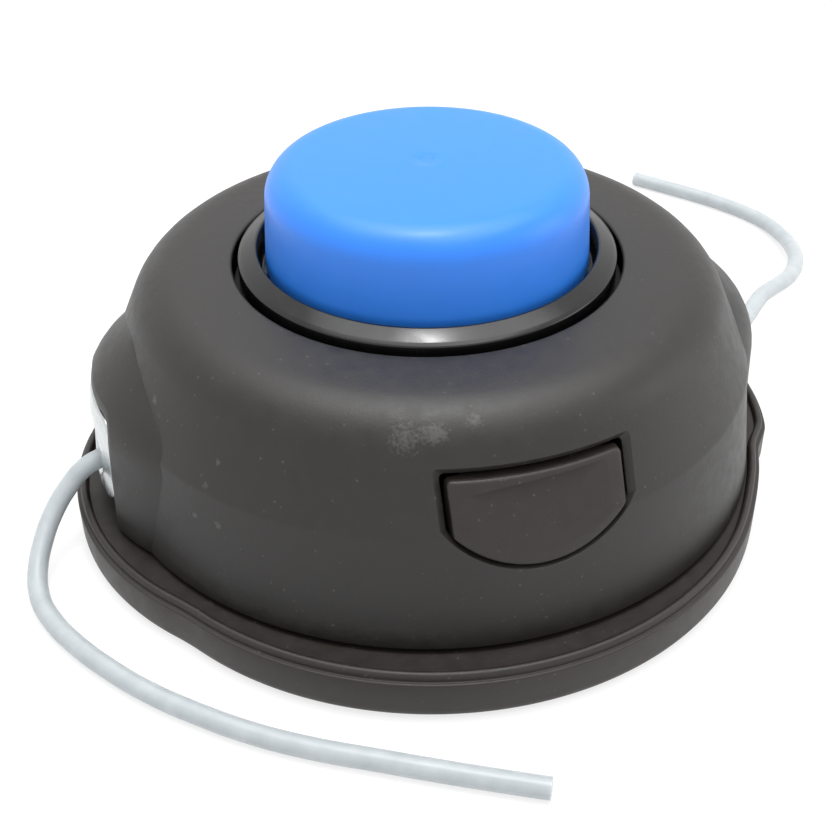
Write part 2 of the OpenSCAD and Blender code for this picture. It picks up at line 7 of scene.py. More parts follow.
import json
import logging
import math
from dataclasses import dataclass
from enum import Enum
from typing import Any, Callable, NamedTuple, Optional, Sequence

import bmesh
import bpy
from mathutils import Matrix, Vector

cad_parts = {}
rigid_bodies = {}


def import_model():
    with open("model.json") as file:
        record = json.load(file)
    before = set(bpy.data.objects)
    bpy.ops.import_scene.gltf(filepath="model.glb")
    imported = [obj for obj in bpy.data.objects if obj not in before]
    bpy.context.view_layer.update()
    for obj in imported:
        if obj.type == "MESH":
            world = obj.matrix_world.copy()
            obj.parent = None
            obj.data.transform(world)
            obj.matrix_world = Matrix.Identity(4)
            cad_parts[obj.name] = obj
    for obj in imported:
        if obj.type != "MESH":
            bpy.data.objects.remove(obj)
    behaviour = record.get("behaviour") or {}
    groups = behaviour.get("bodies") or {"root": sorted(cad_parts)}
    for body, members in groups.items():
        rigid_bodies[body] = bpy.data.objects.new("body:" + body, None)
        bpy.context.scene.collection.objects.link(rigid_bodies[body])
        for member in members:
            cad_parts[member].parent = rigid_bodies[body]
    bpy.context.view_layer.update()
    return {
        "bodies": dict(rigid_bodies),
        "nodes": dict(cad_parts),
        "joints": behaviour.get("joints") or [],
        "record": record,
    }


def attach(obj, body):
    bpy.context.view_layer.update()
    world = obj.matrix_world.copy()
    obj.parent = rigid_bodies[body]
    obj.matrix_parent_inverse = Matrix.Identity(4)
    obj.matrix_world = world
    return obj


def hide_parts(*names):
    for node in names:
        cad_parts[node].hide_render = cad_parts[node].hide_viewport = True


log = logging.getLogger("trimmer_head")
MM = 0.001
Colour = tuple[float, float, float, float]


class Body(Enum):
    """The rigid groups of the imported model."""

    HEAD = "head"
    SPRING_SEAT = "spring_seat"
    SPOOL = "spool_group"
    CAGE = "cage_group"
    BUTTON = "button_group"


class Cut(Enum):
    """How one solid is combined with another."""

    ADD = "UNION"
    TAKE = "DIFFERENCE"
    KEEP = "INTERSECT"


class Corner(NamedTuple):
    """A corner of an outline, with the radius that rounds it."""

    r: float
    z: float
    fillet: float = 0.0


class Step(NamedTuple):
    """One ring of a plug: how far its outline is grown, and how far it lies off the wall."""

    grow: float
    off: float


def linear(code: str) -> Colour:
    """Turns an sRGB hex colour into a linear one.

    Args:
        code: The colour, such as "#3b9bff".

    Returns:
        Red, green, blue and alpha, from 0 to 1.
    """
    parts = [int(code[i : i + 2], 16) / 255 for i in (1, 3, 5)]
    red, green, blue = [p / 12.92 if p <= 0.04045 else ((p + 0.055) / 1.055) ** 2.4 for p in parts]
    return (red, green, blue, 1.0)


def add_node(tree: bpy.types.NodeTree, kind: str, inputs: Optional[dict[Any, Any]] = None,
             **settings: Any) -> bpy.types.Node:
    """Adds a shader node with its settings, its values and its links.

    Args:
        tree: The node tree that gets the node.
        kind: The node's type.
        inputs: A value, or another node's output, for each input by name or number.
        **settings: The node's own properties.

    Returns:
        The new node.
    """
    node = tree.nodes.new(kind)
    for name, value in settings.items():
        setattr(node, name, value)
    for key, value in (inputs or {}).items():
        if isinstance(value, bpy.types.NodeSocket):
            tree.links.new(value, node.inputs[key])
        else:
            node.inputs[key].default_value = value
    return node


def new_material(name: str) -> tuple[bpy.types.Material, bpy.types.NodeTree, bpy.types.Node]:
    """Makes an empty node material.

    Args:
        name: The material's name.

    Returns:
        The material, its tree and its output node.
    """
    material = bpy.data.materials.new(name)
    material.use_nodes = True
    tree = material.node_tree
    tree.nodes.clear()
    return material, tree, add_node(tree, "ShaderNodeOutputMaterial")


def soften(corners: Sequence[Corner], closed: bool = True, steps: int = 6) -> list[Vector]:
    """Rounds the corners of an outline.

    Args:
        corners: The outline's corners in order.
        closed: Whether the last corner joins the first.
        steps: How many pieces each rounding has.

    Returns:
        The points of the rounded outline, as many for each fillet whatever its size.
    """
    points: list[Vector] = []
    last = len(corners) - 1
    for i, corner in enumerate(corners):
        here = Vector((corner.r, corner.z))
        if corner.fillet <= 0 or (not closed and i in (0, last)):
            points.append(here)
            continue
        back = Vector(corners[i - 1][:2]) - here
        ahead = Vector(corners[(i + 1) % len(corners)][:2]) - here
        half = back.angle(ahead) / 2
        reach = min(corner.fillet / math.tan(half), 0.49 * back.length, 0.49 * ahead.length)
        radius = reach * math.tan(half)
        centre = here + (back.normalized() + ahead.normalized()).normalized() * radius / math.sin(half)
        start = here + back.normalized() * reach - centre
        end = here + ahead.normalized() * reach - centre
        first = math.atan2(start.y, start.x)
        sweep = (math.atan2(end.y, end.x) - first + math.pi) % math.tau - math.pi
        for k in range(steps + 1):
            angle = first + sweep * k / steps
            points.append(centre + radius * Vector((math.cos(angle), math.sin(angle))))
    return points


def spread(points: Sequence[Vector], longest: float, closed: bool = True) -> list[Vector]:
    """Adds points to an outline until no stretch of it is longer than asked.

    Args:
        points: The outline.
        longest: The longest stretch that stays whole.
        closed: Whether the last point joins the first.

    Returns:
        The outline with its added points.
    """
    result: list[Vector] = []
    count = len(points) if closed else len(points) - 1
    for i in range(count):
        start, end = points[i], points[(i + 1) % len(points)]
        pieces = max(1, math.ceil((end - start).length / longest))
        result.extend(start.lerp(end, k / pieces) for k in range(pieces))
    if not closed:
        result.append(points[-1])
    return result


def turned(points: Sequence[Vector], steps: int, closed: bool = True) -> bmesh.types.BMesh:
    """Turns an outline about Z into a closed solid.

    Args:
        points: Radius and height of each point.
        steps: How many sides the solid has.
        closed: Whether the outline closes on itself, or starts and ends on the axis.

    Returns:
        The solid.
    """
    solid = bmesh.new()
    verts = [solid.verts.new((max(p.x, 0.0), 0.0, p.y)) for p in points]
    pairs = list(zip(verts, verts[1:])) + ([(verts[-1], verts[0])] if closed else [])
    edges = [solid.edges.new(pair) for pair in pairs]
    bmesh.ops.spin(solid, geom=verts + edges, cent=(0, 0, 0), axis=(0, 0, 1), angle=math.tau,
                   steps=steps, use_merge=True)
    bmesh.ops.remove_doubles(solid, verts=solid.verts[:], dist=1e-4)
    bmesh.ops.recalc_face_normals(solid, faces=solid.faces[:])
    return solid


def plug(outline: Callable[[float], list[Vector]], place: Callable[[float, float, float], Vector],
         steps: Sequence[Step]) -> bmesh.types.BMesh:
    """Lofts a closed plug through rings that follow a curved wall.

    Args:
        outline: The ring's shape in the wall's own plane, grown by a distance.
        place: Where a point of that plane lies at a distance off the wall.
        steps: The rings, from the outside inwards.

    Returns:
        The plug.
    """
    solid = bmesh.new()
    mark = solid.verts.layers.int.new("place")
    shape = outline(steps[0].grow)
    ring = [solid.verts.new(place(p.x, p.y, steps[0].off)) for p in shape]
    for i, vert in enumerate(ring):
        vert[mark] = i
    edges = [solid.edges.new((ring[i - 1], ring[i])) for i in range(len(ring))]
    bmesh.ops.edgeloop_fill(solid, edges=edges)
    for step in steps[1:]:
        shape = outline(step.grow)
        grown = bmesh.ops.extrude_edge_only(solid, edges=edges)["geom"]
        edges = [item for item in grown if isinstance(item, bmesh.types.BMEdge)
                 and all(vert in grown for vert in item.verts)]
        for vert in (item for item in grown if isinstance(item, bmesh.types.BMVert)):
            point = shape[vert[mark]]
            vert.co = place(point.x, point.y, step.off)
    bmesh.ops.edgeloop_fill(solid, edges=edges)
    bmesh.ops.recalc_face_normals(solid, faces=solid.faces[:])
    return solid


def looped(rings: Sequence[Sequence[Vector]]) -> bmesh.types.BMesh:
    """Joins rings of equally many points into a closed tube that bites its own tail.

    Args:
        rings: The rings in order, the last one next to the first.

    Returns:
        The solid.
    """
    solid = bmesh.new()
    loops = [[solid.verts.new(point) for point in ring] for ring in rings]
    for k, loop in enumerate(loops):
        behind = loops[k - 1]
        for i in range(len(loop)):
            solid.faces.new((behind[i - 1], behind[i], loop[i], loop[i - 1]))
    bmesh.ops.recalc_face_normals(solid, faces=solid.faces[:])
    return solid


def block(low: Sequence[float], high: Sequence[float], turn: float = 0.0,
          edge: float = 0.0) -> bmesh.types.BMesh:
    """Makes a box between two corners, turned about Z.

    Args:
        low: Its lowest corner.
        high: Its highest corner.
        turn: How far it is turned, in degrees.
        edge: Radius of its edges.

    Returns:
        The box.
    """
    solid = bmesh.new()
    size = [h - l for l, h in zip(low, high)]
    middle = [(h + l) / 2 for l, h in zip(low, high)]
    matrix = Matrix.Translation(middle) @ Matrix.Diagonal((*size, 1.0))
    bmesh.ops.create_cube(solid, size=1.0, matrix=matrix)
    if edge > 0:
        bmesh.ops.bevel(solid, geom=solid.edges[:], offset=edge, affect="EDGES", segments=2,
                        profile=0.5, material=-1)
    bmesh.ops.rotate(solid, verts=solid.verts[:], matrix=Matrix.Rotation(math.radians(turn), 3, "Z"))
    return solid


def rod(radius: float, start: float, end: float, sides: int, axis: str = "Z") -> bmesh.types.BMesh:
    """Makes a straight rod along an axis through the origin.

    Args:
        radius: Its radius, to its corners.
        start: Where it starts on the axis.
        end: Where it ends on the axis.
        sides: How many sides it has.
        axis: "Z", or "X" for one that lies down.

    Returns:
        The rod.
    """
    solid = bmesh.new()
    matrix = Matrix.Translation((0, 0, (start + end) / 2))
    if axis == "X":
        matrix = Matrix.Rotation(math.radians(90), 4, "Y") @ matrix
    bmesh.ops.create_cone(solid, cap_ends=True, segments=sides, radius1=radius, radius2=radius,
                          depth=end - start, matrix=matrix)
    return solid


def merged(solids: Sequence[bmesh.types.BMesh]) -> bmesh.types.BMesh:
    """Gathers solids that stand apart into one mesh, and frees them."""
    result = bmesh.new()
    for solid in solids:
        mesh = bpy.data.meshes.new("part")
        solid.to_mesh(mesh)
        solid.free()
        result.from_mesh(mesh)
        bpy.data.meshes.remove(mesh)
    return result


def both_sides(solid: bmesh.types.BMesh) -> bmesh.types.BMesh:
    """Adds a copy of a solid, turned half round the Z axis."""
    copy = bmesh.ops.duplicate(solid, geom=solid.verts[:] + solid.edges[:] + solid.faces[:])["geom"]
    verts = [item for item in copy if isinstance(item, bmesh.types.BMVert)]
    bmesh.ops.rotate(solid, verts=verts, matrix=Matrix.Rotation(math.pi, 3, "Z"))
    return solid


def as_object(name: str, solid: bmesh.types.BMesh) -> bpy.types.Object:
    """Turns a bmesh into an object of the scene, still in millimetres, and frees it."""
    mesh = bpy.data.meshes.new(name)
    solid.to_mesh(mesh)
    solid.free()
    piece = bpy.data.objects.new(name, mesh)
    bpy.context.scene.collection.objects.link(piece)
    return piece


def combine(piece: bpy.types.Object, tool: bmesh.types.BMesh, cut: Cut) -> None:
    """Combines a piece with a tool solid, for good.

    Args:
        piece: The piece that changes.
        tool: The solid that it is combined with, which is used up.
        cut: How they are combined.
    """
    other = as_object(f"{piece.name}_tool", tool)
    modifier = piece.modifiers.new("cut", "BOOLEAN")
    modifier.operation = cut.value
    modifier.solver = "EXACT"
    modifier.object = other
    graph = bpy.context.evaluated_depsgraph_get()
    mesh = bpy.data.meshes.new_from_object(piece.evaluated_get(graph))
    piece.modifiers.clear()
    old = piece.data
    piece.data = mesh
    bpy.data.meshes.remove(old)
    bpy.data.objects.remove(other)


def smooth_max(a: float, b: float, blend: float) -> float:
    """Returns the larger of two numbers, eased where they come within a blend of each other."""
    near = max(blend - abs(a - b), 0.0) / blend
    return max(a, b) + near * near * blend / 4


def ease(low: float, high: float, value: float) -> float:
    """Returns 0 below low, 1 above high, and a smooth step between them."""
    t = min(max((value - low) / (high - low), 0.0), 1.0)
    return t * t * (3 - 2 * t)


@dataclass(frozen=True)
class Patch:
    """A pale place, worn or painted glint: its centre and reach in millimetres, and how strongly it shows."""

    centre: tuple[float, float, float]
    reach: float
    strength: float


@dataclass(frozen=True)
class MouldedNylon:
    """Glass-filled black nylon, moulded in a finely textured tool: dark, with a satin sheen."""

    name: str
    colour: str = "#1c1a19"
    pale: str = "#4a4846"
    roughness: float = 0.46
    ior: float = 1.48
    grain: float = 0.45
    mottle: float = 2.6
    fleck: float = 1.5
    flecks: float = 0.8
    patches: tuple[Patch, ...] = ()
    # The opening's wall inside this radius and below this height gets painted shade, near-black.
    opening_shade_r: float = 0.0
    opening_shade_z: float = 0.0

    def opening_shade_mask(self, tree: bpy.types.NodeTree, place: bpy.types.NodeSocket) -> bpy.types.NodeSocket:
        """Returns 1 on the wall of the opening, inside a radius and below a height, where shade is painted in.
        """
        axes = add_node(tree, "ShaderNodeSeparateXYZ", {0: place})
        flat = add_node(tree, "ShaderNodeVectorMath", {0: place, 1: (1.0, 1.0, 0.0)}, operation="MULTIPLY")
        away = add_node(tree, "ShaderNodeVectorMath", {0: flat.outputs[0]}, operation="LENGTH")
        inside = add_node(tree, "ShaderNodeMath", {0: away.outputs["Value"], 1: self.opening_shade_r * MM},
                          operation="LESS_THAN")
        below = add_node(tree, "ShaderNodeMath", {0: axes.outputs["Z"], 1: self.opening_shade_z * MM},
                         operation="LESS_THAN")
        return add_node(tree, "ShaderNodeMath", {0: inside.outputs[0], 1: below.outputs[0]},
                        operation="MULTIPLY").outputs[0]

    def wear_and_glint(self, tree: bpy.types.NodeTree, place: bpy.types.NodeSocket) -> bpy.types.NodeSocket:
        """Builds the mask of the pale places: worn spots, and painted glint on the cover's front shoulder.

        Args:
            tree: The material's nodes.
            place: Where on the piece the point is.

        Returns:
            The mask, 1 where the surface is worn or painted pale as glint.
        """
        rough = add_node(tree, "ShaderNodeTexNoise", {"Vector": place, "Scale": 1 / (0.55 * MM),
                                                      "Detail": 6.0, "Roughness": 0.65})
        total: Any = 0.0
        for patch in self.patches:
            centre = tuple(MM * value for value in patch.centre)
            away = add_node(tree, "ShaderNodeVectorMath", {0: place, 1: centre}, operation="DISTANCE")
            near = add_node(tree, "ShaderNodeMapRange",
                            {"Value": away.outputs["Value"], "From Min": patch.reach * MM, "From Max": 0.0,
                             "To Min": 0.0, "To Max": patch.strength}, interpolation_type="SMOOTHSTEP")
            total = add_node(tree, "ShaderNodeMath", {0: near.outputs[0], 1: total},
                             operation="ADD").outputs[0]
        mask = add_node(tree, "ShaderNodeMath", {0: rough.outputs["Fac"], 1: total}, operation="ADD")
        return add_node(tree, "ShaderNodeMapRange", {"Value": mask.outputs[0], "From Min": 0.98,
                                                     "From Max": 1.22}).outputs[0]

    def material(self) -> bpy.types.Material:
        """Builds the material."""
        material, tree, output = new_material(self.name)
        place = add_node(tree, "ShaderNodeTexCoord").outputs["Object"]
        fine = add_node(tree, "ShaderNodeTexNoise", {"Vector": place, "Scale": 1 / (self.grain * MM),
                                                     "Detail": 3.0})
        broad = add_node(tree, "ShaderNodeTexNoise", {"Vector": place, "Scale": 1 / (self.mottle * MM),
                                                      "Detail": 5.0, "Roughness": 0.6})
        cells = add_node(tree, "ShaderNodeTexVoronoi", {"Vector": place, "Scale": 1 / (self.fleck * MM)})
        dots = add_node(tree, "ShaderNodeMapRange", {"Value": cells.outputs["Distance"], "From Min": 0.17,
                                                     "From Max": 0.09})
        rare = add_node(tree, "ShaderNodeMapRange", {"Value": broad.outputs["Fac"], "From Min": 0.50,
                                                     "From Max": 0.62, "To Max": self.flecks})
        specks = add_node(tree, "ShaderNodeMath", {0: dots.outputs[0], 1: rare.outputs[0]},
                          operation="MULTIPLY")
        wear_and_glint_mask = self.wear_and_glint(tree, place)
        shown = add_node(tree, "ShaderNodeMath", {0: specks.outputs[0], 1: wear_and_glint_mask}, operation="MAXIMUM")
        shade = add_node(tree, "ShaderNodeMix", {0: broad.outputs["Fac"], 6: linear(self.colour),
                                                 7: tuple(2.2 * c for c in linear(self.colour)[:3]) + (1.0,)},
                         data_type="RGBA")
        colour = add_node(tree, "ShaderNodeMix", {0: shown.outputs[0], 6: shade.outputs[2],
                                                  7: linear(self.pale)}, data_type="RGBA")
        sheen = add_node(tree, "ShaderNodeMapRange", {"Value": broad.outputs["Fac"], "From Min": 0.3,
                                                      "From Max": 0.7, "To Min": self.roughness - 0.05,
                                                      "To Max": self.roughness + 0.06})
        bump = add_node(tree, "ShaderNodeBump", {"Strength": 0.5, "Distance": 0.05 * MM,
                                                 "Height": fine.outputs["Fac"]})
        shader = add_node(tree, "ShaderNodeBsdfPrincipled",
                          {"Base Color": colour.outputs[2], "Roughness": sheen.outputs[0], "IOR": self.ior,
                           "Normal": bump.outputs[0]})
        # Painted shade: the opening's wall under the rim is drawn near-black, where it lies in shadow.
        painted_opening_shade = add_node(tree, "ShaderNodeBsdfDiffuse", {"Color": (0.002, 0.002, 0.002, 1)})
        mixed = add_node(tree, "ShaderNodeMixShader", {0: self.opening_shade_mask(tree, place), 1: shader.outputs[0],
                                                       2: painted_opening_shade.outputs[0]})
        tree.links.new(mixed.outputs[0], output.inputs["Surface"])
        return material


@dataclass(frozen=True)
class MouldedResin:
    """Plain moulded resin, glossy or satin, with fine rubbing marks and a slight flow mottle."""

    name: str
    colour: str
    roughness: float
    ior: float = 1.53
    grain: float = 0.5
    bump: float = 0.006
    mottle: float = 5.0
    deeper: float = 0.92
    rubbed: float = 0.04
    soft: float = 0.0

    def material(self) -> bpy.types.Material:
        """Builds the material."""
        material, tree, output = new_material(self.name)
        place = add_node(tree, "ShaderNodeTexCoord").outputs["Object"]
        fine = add_node(tree, "ShaderNodeTexNoise", {"Vector": place, "Scale": 1 / (self.grain * MM),
                                                     "Detail": 4.0})
        broad = add_node(tree, "ShaderNodeTexNoise", {"Vector": place, "Scale": 1 / (self.mottle * MM),
                                                      "Detail": 4.0, "Distortion": 0.6})
        base = linear(self.colour)
        dark = tuple(self.deeper * c for c in base[:3]) + (1.0,)
        shade = add_node(tree, "ShaderNodeMix", {0: broad.outputs["Fac"], 6: dark, 7: base},
                         data_type="RGBA")
        sheen = add_node(tree, "ShaderNodeMapRange", {"Value": broad.outputs["Fac"], "From Min": 0.35,
                                                      "From Max": 0.65,
                                                      "To Min": self.roughness - self.rubbed / 2,
                                                      "To Max": self.roughness + self.rubbed})
        bump = add_node(tree, "ShaderNodeBump", {"Strength": 0.4, "Distance": self.bump * MM,
                                                 "Height": fine.outputs["Fac"]})
        shader = add_node(tree, "ShaderNodeBsdfPrincipled",
                          {"Base Color": shade.outputs[2], "Roughness": sheen.outputs[0], "IOR": self.ior,
                           "Subsurface Weight": self.soft, "Subsurface Radius": (0.6, 0.8, 1.0),
                           "Subsurface Scale": 0.6 * MM, "Normal": bump.outputs[0]})
        tree.links.new(shader.outputs[0], output.inputs["Surface"])
        return material


@dataclass(frozen=True)
class MachinedMetal:
    """Metal turned, drawn or rolled and left bright: fine tool marks and a few duller spots."""

    name: str
    colour: str
    roughness: float
    marks: float = 0.4
    across: tuple[float, float, float] = (1.0, 1.0, 1.0)
    dull: float = 0.10

    def material(self) -> bpy.types.Material:
        """Builds the material."""
        material, tree, output = new_material(self.name)
        place = add_node(tree, "ShaderNodeTexCoord").outputs["Object"]
        mapped = add_node(tree, "ShaderNodeMapping", {"Vector": place, "Scale": self.across})
        lines = add_node(tree, "ShaderNodeTexNoise", {"Vector": mapped.outputs[0],
                                                      "Scale": 1 / (self.marks * MM), "Detail": 3.0})
        spots = add_node(tree, "ShaderNodeTexNoise", {"Vector": place, "Scale": 1 / (2.0 * MM),
                                                      "Detail": 5.0})
        base = linear(self.colour)
        tarnish = tuple(0.8 * c for c in base[:3]) + (1.0,)
        shade = add_node(tree, "ShaderNodeMix", {0: spots.outputs["Fac"], 6: base, 7: tarnish},
                         data_type="RGBA")
        sheen = add_node(tree, "ShaderNodeMapRange", {"Value": spots.outputs["Fac"], "From Min": 0.4,
                                                      "From Max": 0.7, "To Min": self.roughness,
                                                      "To Max": self.roughness + self.dull})
        bump = add_node(tree, "ShaderNodeBump", {"Strength": 0.3, "Distance": 0.01 * MM,
                                                 "Height": lines.outputs["Fac"]})
        shader = add_node(tree, "ShaderNodeBsdfPrincipled",
                          {"Base Color": shade.outputs[2], "Metallic": 1.0, "Roughness": sheen.outputs[0],
                           "Normal": bump.outputs[0]})
        tree.links.new(shader.outputs[0], output.inputs["Surface"])
        return material


@dataclass(frozen=True)
class ExtrudedNylonLine:
    """Clear nylon line, drawn and quenched: milky inside, smooth skin, faint lengthwise clouds."""

    name: str
    colour: str = "#c4c9cc"
    cloudy: str = "#a8b0b4"
    roughness: float = 0.36
    ior: float = 1.50

    def material(self) -> bpy.types.Material:
        """Builds the material."""
        material, tree, output = new_material(self.name)
        place = add_node(tree, "ShaderNodeTexCoord").outputs["Object"]
        clouds = add_node(tree, "ShaderNodeTexNoise", {"Vector": place, "Scale": 1 / (3.0 * MM),
                                                       "Detail": 4.0})
        fine = add_node(tree, "ShaderNodeTexNoise", {"Vector": place, "Scale": 1 / (0.5 * MM),
                                                     "Detail": 2.0})
        shade = add_node(tree, "ShaderNodeMix", {0: clouds.outputs["Fac"], 6: linear(self.cloudy),
                                                 7: linear(self.colour)}, data_type="RGBA")
        bump = add_node(tree, "ShaderNodeBump", {"Strength": 0.3, "Distance": 0.01 * MM,
                                                 "Height": fine.outputs["Fac"]})
        shader = add_node(tree, "ShaderNodeBsdfPrincipled",
                          {"Base Color": shade.outputs[2], "Roughness": self.roughness, "IOR": self.ior,
                           "Subsurface Weight": 0.7, "Subsurface Radius": (1.0, 1.0, 1.0),
                           "Subsurface Scale": 1.2 * MM, "Normal": bump.outputs[0]})
        tree.links.new(shader.outputs[0], output.inputs["Surface"])
        return material


COVER_WEAR_AND_GLINT = (
    # The first three paint pale glint on the front shoulder, where the top lamp's sheen falls; the rest paint
    # small pale spots round the left ear.
    Patch((-18.0, -44.6, 40.6), 7.0, 0.66),
    Patch((-8.0, -45.7, 42.1), 3.6, 0.66),
    Patch((-13.0, -46.0, 41.3), 4.0, 0.60),
    Patch((-49.1, -15.1, 34.4), 1.8, 0.75),
    Patch((-48.7, -17.4, 33.0), 1.3, 0.70),
    Patch((-42.5, -30.7, 32.1), 1.4, 0.72),
    Patch((-44.7, -30.4, 28.2), 1.6, 0.72),
    Patch((-46.7, -29.5, 22.2), 1.6, 0.70),
    Patch((-43.9, -33.4, 22.6), 1.8, 0.72),
)
LATCH_WEAR = (
    Patch((2.0, -54.6, 28.0), 9.0, 0.42),
    Patch((-8.0, -53.0, 31.0), 6.0, 0.42),
)


class Finishes:
    """Every finish of the head, made once."""

    def __init__(self) -> None:
        """Builds the materials."""
        self.cover = MouldedNylon("moulded nylon, black, cover", patches=COVER_WEAR_AND_GLINT, opening_shade_r=34.5,
                                  opening_shade_z=43.75).material()
        self.housing = MouldedNylon("moulded nylon, black, base", colour="#1d1917",
                                    patches=LATCH_WEAR).material()
        self.rim = MouldedResin("moulded acetal, black, polished", "#111112", 0.22, ior=1.50,
                                rubbed=0.06).material()
        self.button = MouldedResin("moulded nylon, blue", "#3489f8", 0.36, ior=1.46, soft=0.15,
                                   bump=0.01).material()
        self.spool = MouldedResin("moulded nylon, dark grey", "#1c1c1e", 0.50, bump=0.015).material()
        self.line = ExtrudedNylonLine("extruded nylon line").material()
        self.eyelet = MachinedMetal("turned aluminium, polished", "#d4d8d9", 0.20).material()
        self.insert = MachinedMetal("turned aluminium, plain", "#b9bbbf", 0.30).material()
        self.spring = MachinedMetal("drawn spring steel", "#9b9ea3", 0.25).material()
        self.zinc = MachinedMetal("zinc-plated steel", "#b4b8bd", 0.28).material()
        self.bearing = MachinedMetal("ground bearing steel", "#c3c5c8", 0.16).material()
        self.balls = MachinedMetal("polished bearing steel", "#d2d4d7", 0.06, dull=0.03).material()
        self.cage = MouldedResin("moulded nylon, natural", "#a08a5c", 0.40).material()


def settle(piece: bpy.types.Object, body: Body, slot: str, material: bpy.types.Material,
           *nodes: str, sharp: float = 33.0) -> None:
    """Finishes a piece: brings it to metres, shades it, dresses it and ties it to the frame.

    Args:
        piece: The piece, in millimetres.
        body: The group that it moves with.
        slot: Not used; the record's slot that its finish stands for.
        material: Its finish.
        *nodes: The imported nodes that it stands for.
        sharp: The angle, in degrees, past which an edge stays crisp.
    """
    piece.data.transform(Matrix.Scale(MM, 4))
    piece.data.shade_smooth()
    piece.data.set_sharp_from_angle(angle=math.radians(sharp))
    piece.data.materials.clear()
    piece.data.materials.append(material)
    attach(piece, body.value)
    if nodes:
        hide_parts(*nodes)
    log.info("%s: %d faces", piece.name, len(piece.data.polygons))


@dataclass(frozen=True)
class Camera:
    """The photograph's view of the head."""

    place: tuple[float, float, float] = (-61.40, -188.97, 151.78)
    yaw: float = 17.3725
    down: float = 35.4311
    roll: float = -0.6641
    lens: float = 58.0
    sensor: float = 36.0

    def build(self) -> None:
        """Makes the scene's camera."""
        yaw, down, roll = (math.radians(v) for v in (self.yaw, self.down, self.roll))
        ahead = Vector((math.sin(yaw) * math.cos(down), math.cos(yaw) * math.cos(down), -math.sin(down)))
        level = Vector((math.cos(yaw), -math.sin(yaw), 0.0))
        rise = level.cross(ahead)
        side = level * math.cos(roll) + rise * math.sin(roll)
        up = rise * math.cos(roll) - level * math.sin(roll)
        data = bpy.data.cameras.new("camera")
        data.sensor_width = self.sensor
        data.lens = self.lens
        data.clip_start = 10 * MM
        camera = bpy.data.objects.new("camera", data)
        frame = Matrix((side, up, -ahead)).transposed().to_4x4()
        camera.matrix_world = Matrix.Translation(Vector(self.place) * MM) @ frame
        bpy.context.scene.collection.objects.link(camera)
        bpy.context.scene.camera = camera


@dataclass(frozen=True)
class Lamp:
    """A soft box: where it hangs, what it points at, its size in metres and its power in watts."""

    name: str
    place: tuple[float, float, float]
    target: tuple[float, float, float]
    size: tuple[float, float]
    power: float


@dataclass(frozen=True)
class Studio:
    """A pale floor, a pale surround and the soft boxes over them."""

    fill: float = 0.66
    floor_size: float = 6.0
    lamps: tuple[Lamp, ...] = (
        Lamp("top_box", (0.05, 0.05, 0.90), (0.0, 0.0, 0.03), (1.10, 0.90), 8.0),
        Lamp("rim_box", (0.002, 0.008, 0.74), (-0.009, -0.028, 0.046), (0.08, 0.08), 1.2),
        Lamp("right_box", (0.70, -0.25, 0.25), (0.0, 0.0, 0.03), (0.40, 0.40), 0.8),
    )

    def surround(self) -> None:
        """Lights the scene from all round, and shows white where nothing stands."""
        world = bpy.data.worlds.new("surround")
        world.use_nodes = True
        bpy.context.scene.world = world
        tree = world.node_tree
        tree.nodes.clear()
        soft = add_node(tree, "ShaderNodeBackground", {"Color": (1, 1, 1, 1), "Strength": self.fill})
        white = add_node(tree, "ShaderNodeBackground", {"Color": (1, 1, 1, 1), "Strength": 1.0})
        mixed = add_node(tree, "ShaderNodeMixShader", {0: self.seen(tree), 1: soft.outputs[0],
                                                       2: white.outputs[0]})
        add_node(tree, "ShaderNodeOutputWorld", {"Surface": mixed.outputs[0]})

    def seen(self, tree: bpy.types.NodeTree) -> bpy.types.NodeSocket:
        """Returns 1 for a ray from the camera, a mirror or clear plastic, and 0 for stray light."""
        path = add_node(tree, "ShaderNodeLightPath")
        total = path.outputs["Is Camera Ray"]
        for name in ("Is Glossy Ray", "Is Transmission Ray"):
            total = add_node(tree, "ShaderNodeMath", {0: total, 1: path.outputs[name]},
                             operation="MAXIMUM").outputs[0]
        return total

    def floor(self) -> None:
        """Lays the floor, which glows a little where it is seen, so that it comes out white."""
        solid = bmesh.new()
        bmesh.ops.create_grid(solid, x_segments=1, y_segments=1, size=self.floor_size / 2)
        floor = as_object("floor", solid)
        material, tree, output = new_material("matt painted board, white")
        board = add_node(tree, "ShaderNodeBsdfDiffuse", {"Color": (0.8, 0.8, 0.8, 1)})
        pale = add_node(tree, "ShaderNodeBsdfDiffuse", {"Color": (0.30, 0.30, 0.30, 1)})
        glow = add_node(tree, "ShaderNodeEmission", {"Color": (1, 1, 1, 1), "Strength": 0.74})
        shown = add_node(tree, "ShaderNodeAddShader", {0: pale.outputs[0], 1: glow.outputs[0]})
        mixed = add_node(tree, "ShaderNodeMixShader", {0: self.seen(tree), 1: board.outputs[0],
                                                       2: shown.outputs[0]})
        tree.links.new(mixed.outputs[0], output.inputs["Surface"])
        floor.data.materials.append(material)

    def build(self) -> None:
        """Makes the surround, the floor and the lamps."""
        self.surround()
        self.floor()
        for lamp in self.lamps:
            data = bpy.data.lights.new(lamp.name, "AREA")
            data.shape = "RECTANGLE"
            data.size, data.size_y = lamp.size
            data.energy = lamp.power
            light = bpy.data.objects.new(lamp.name, data)
            light.location = lamp.place
            toward = Vector(lamp.target) - Vector(lamp.place)
            light.rotation_euler = toward.to_track_quat("-Z", "Y").to_euler()
            bpy.context.scene.collection.objects.link(light)
        bpy.context.scene.view_settings.view_transform = "Standard"


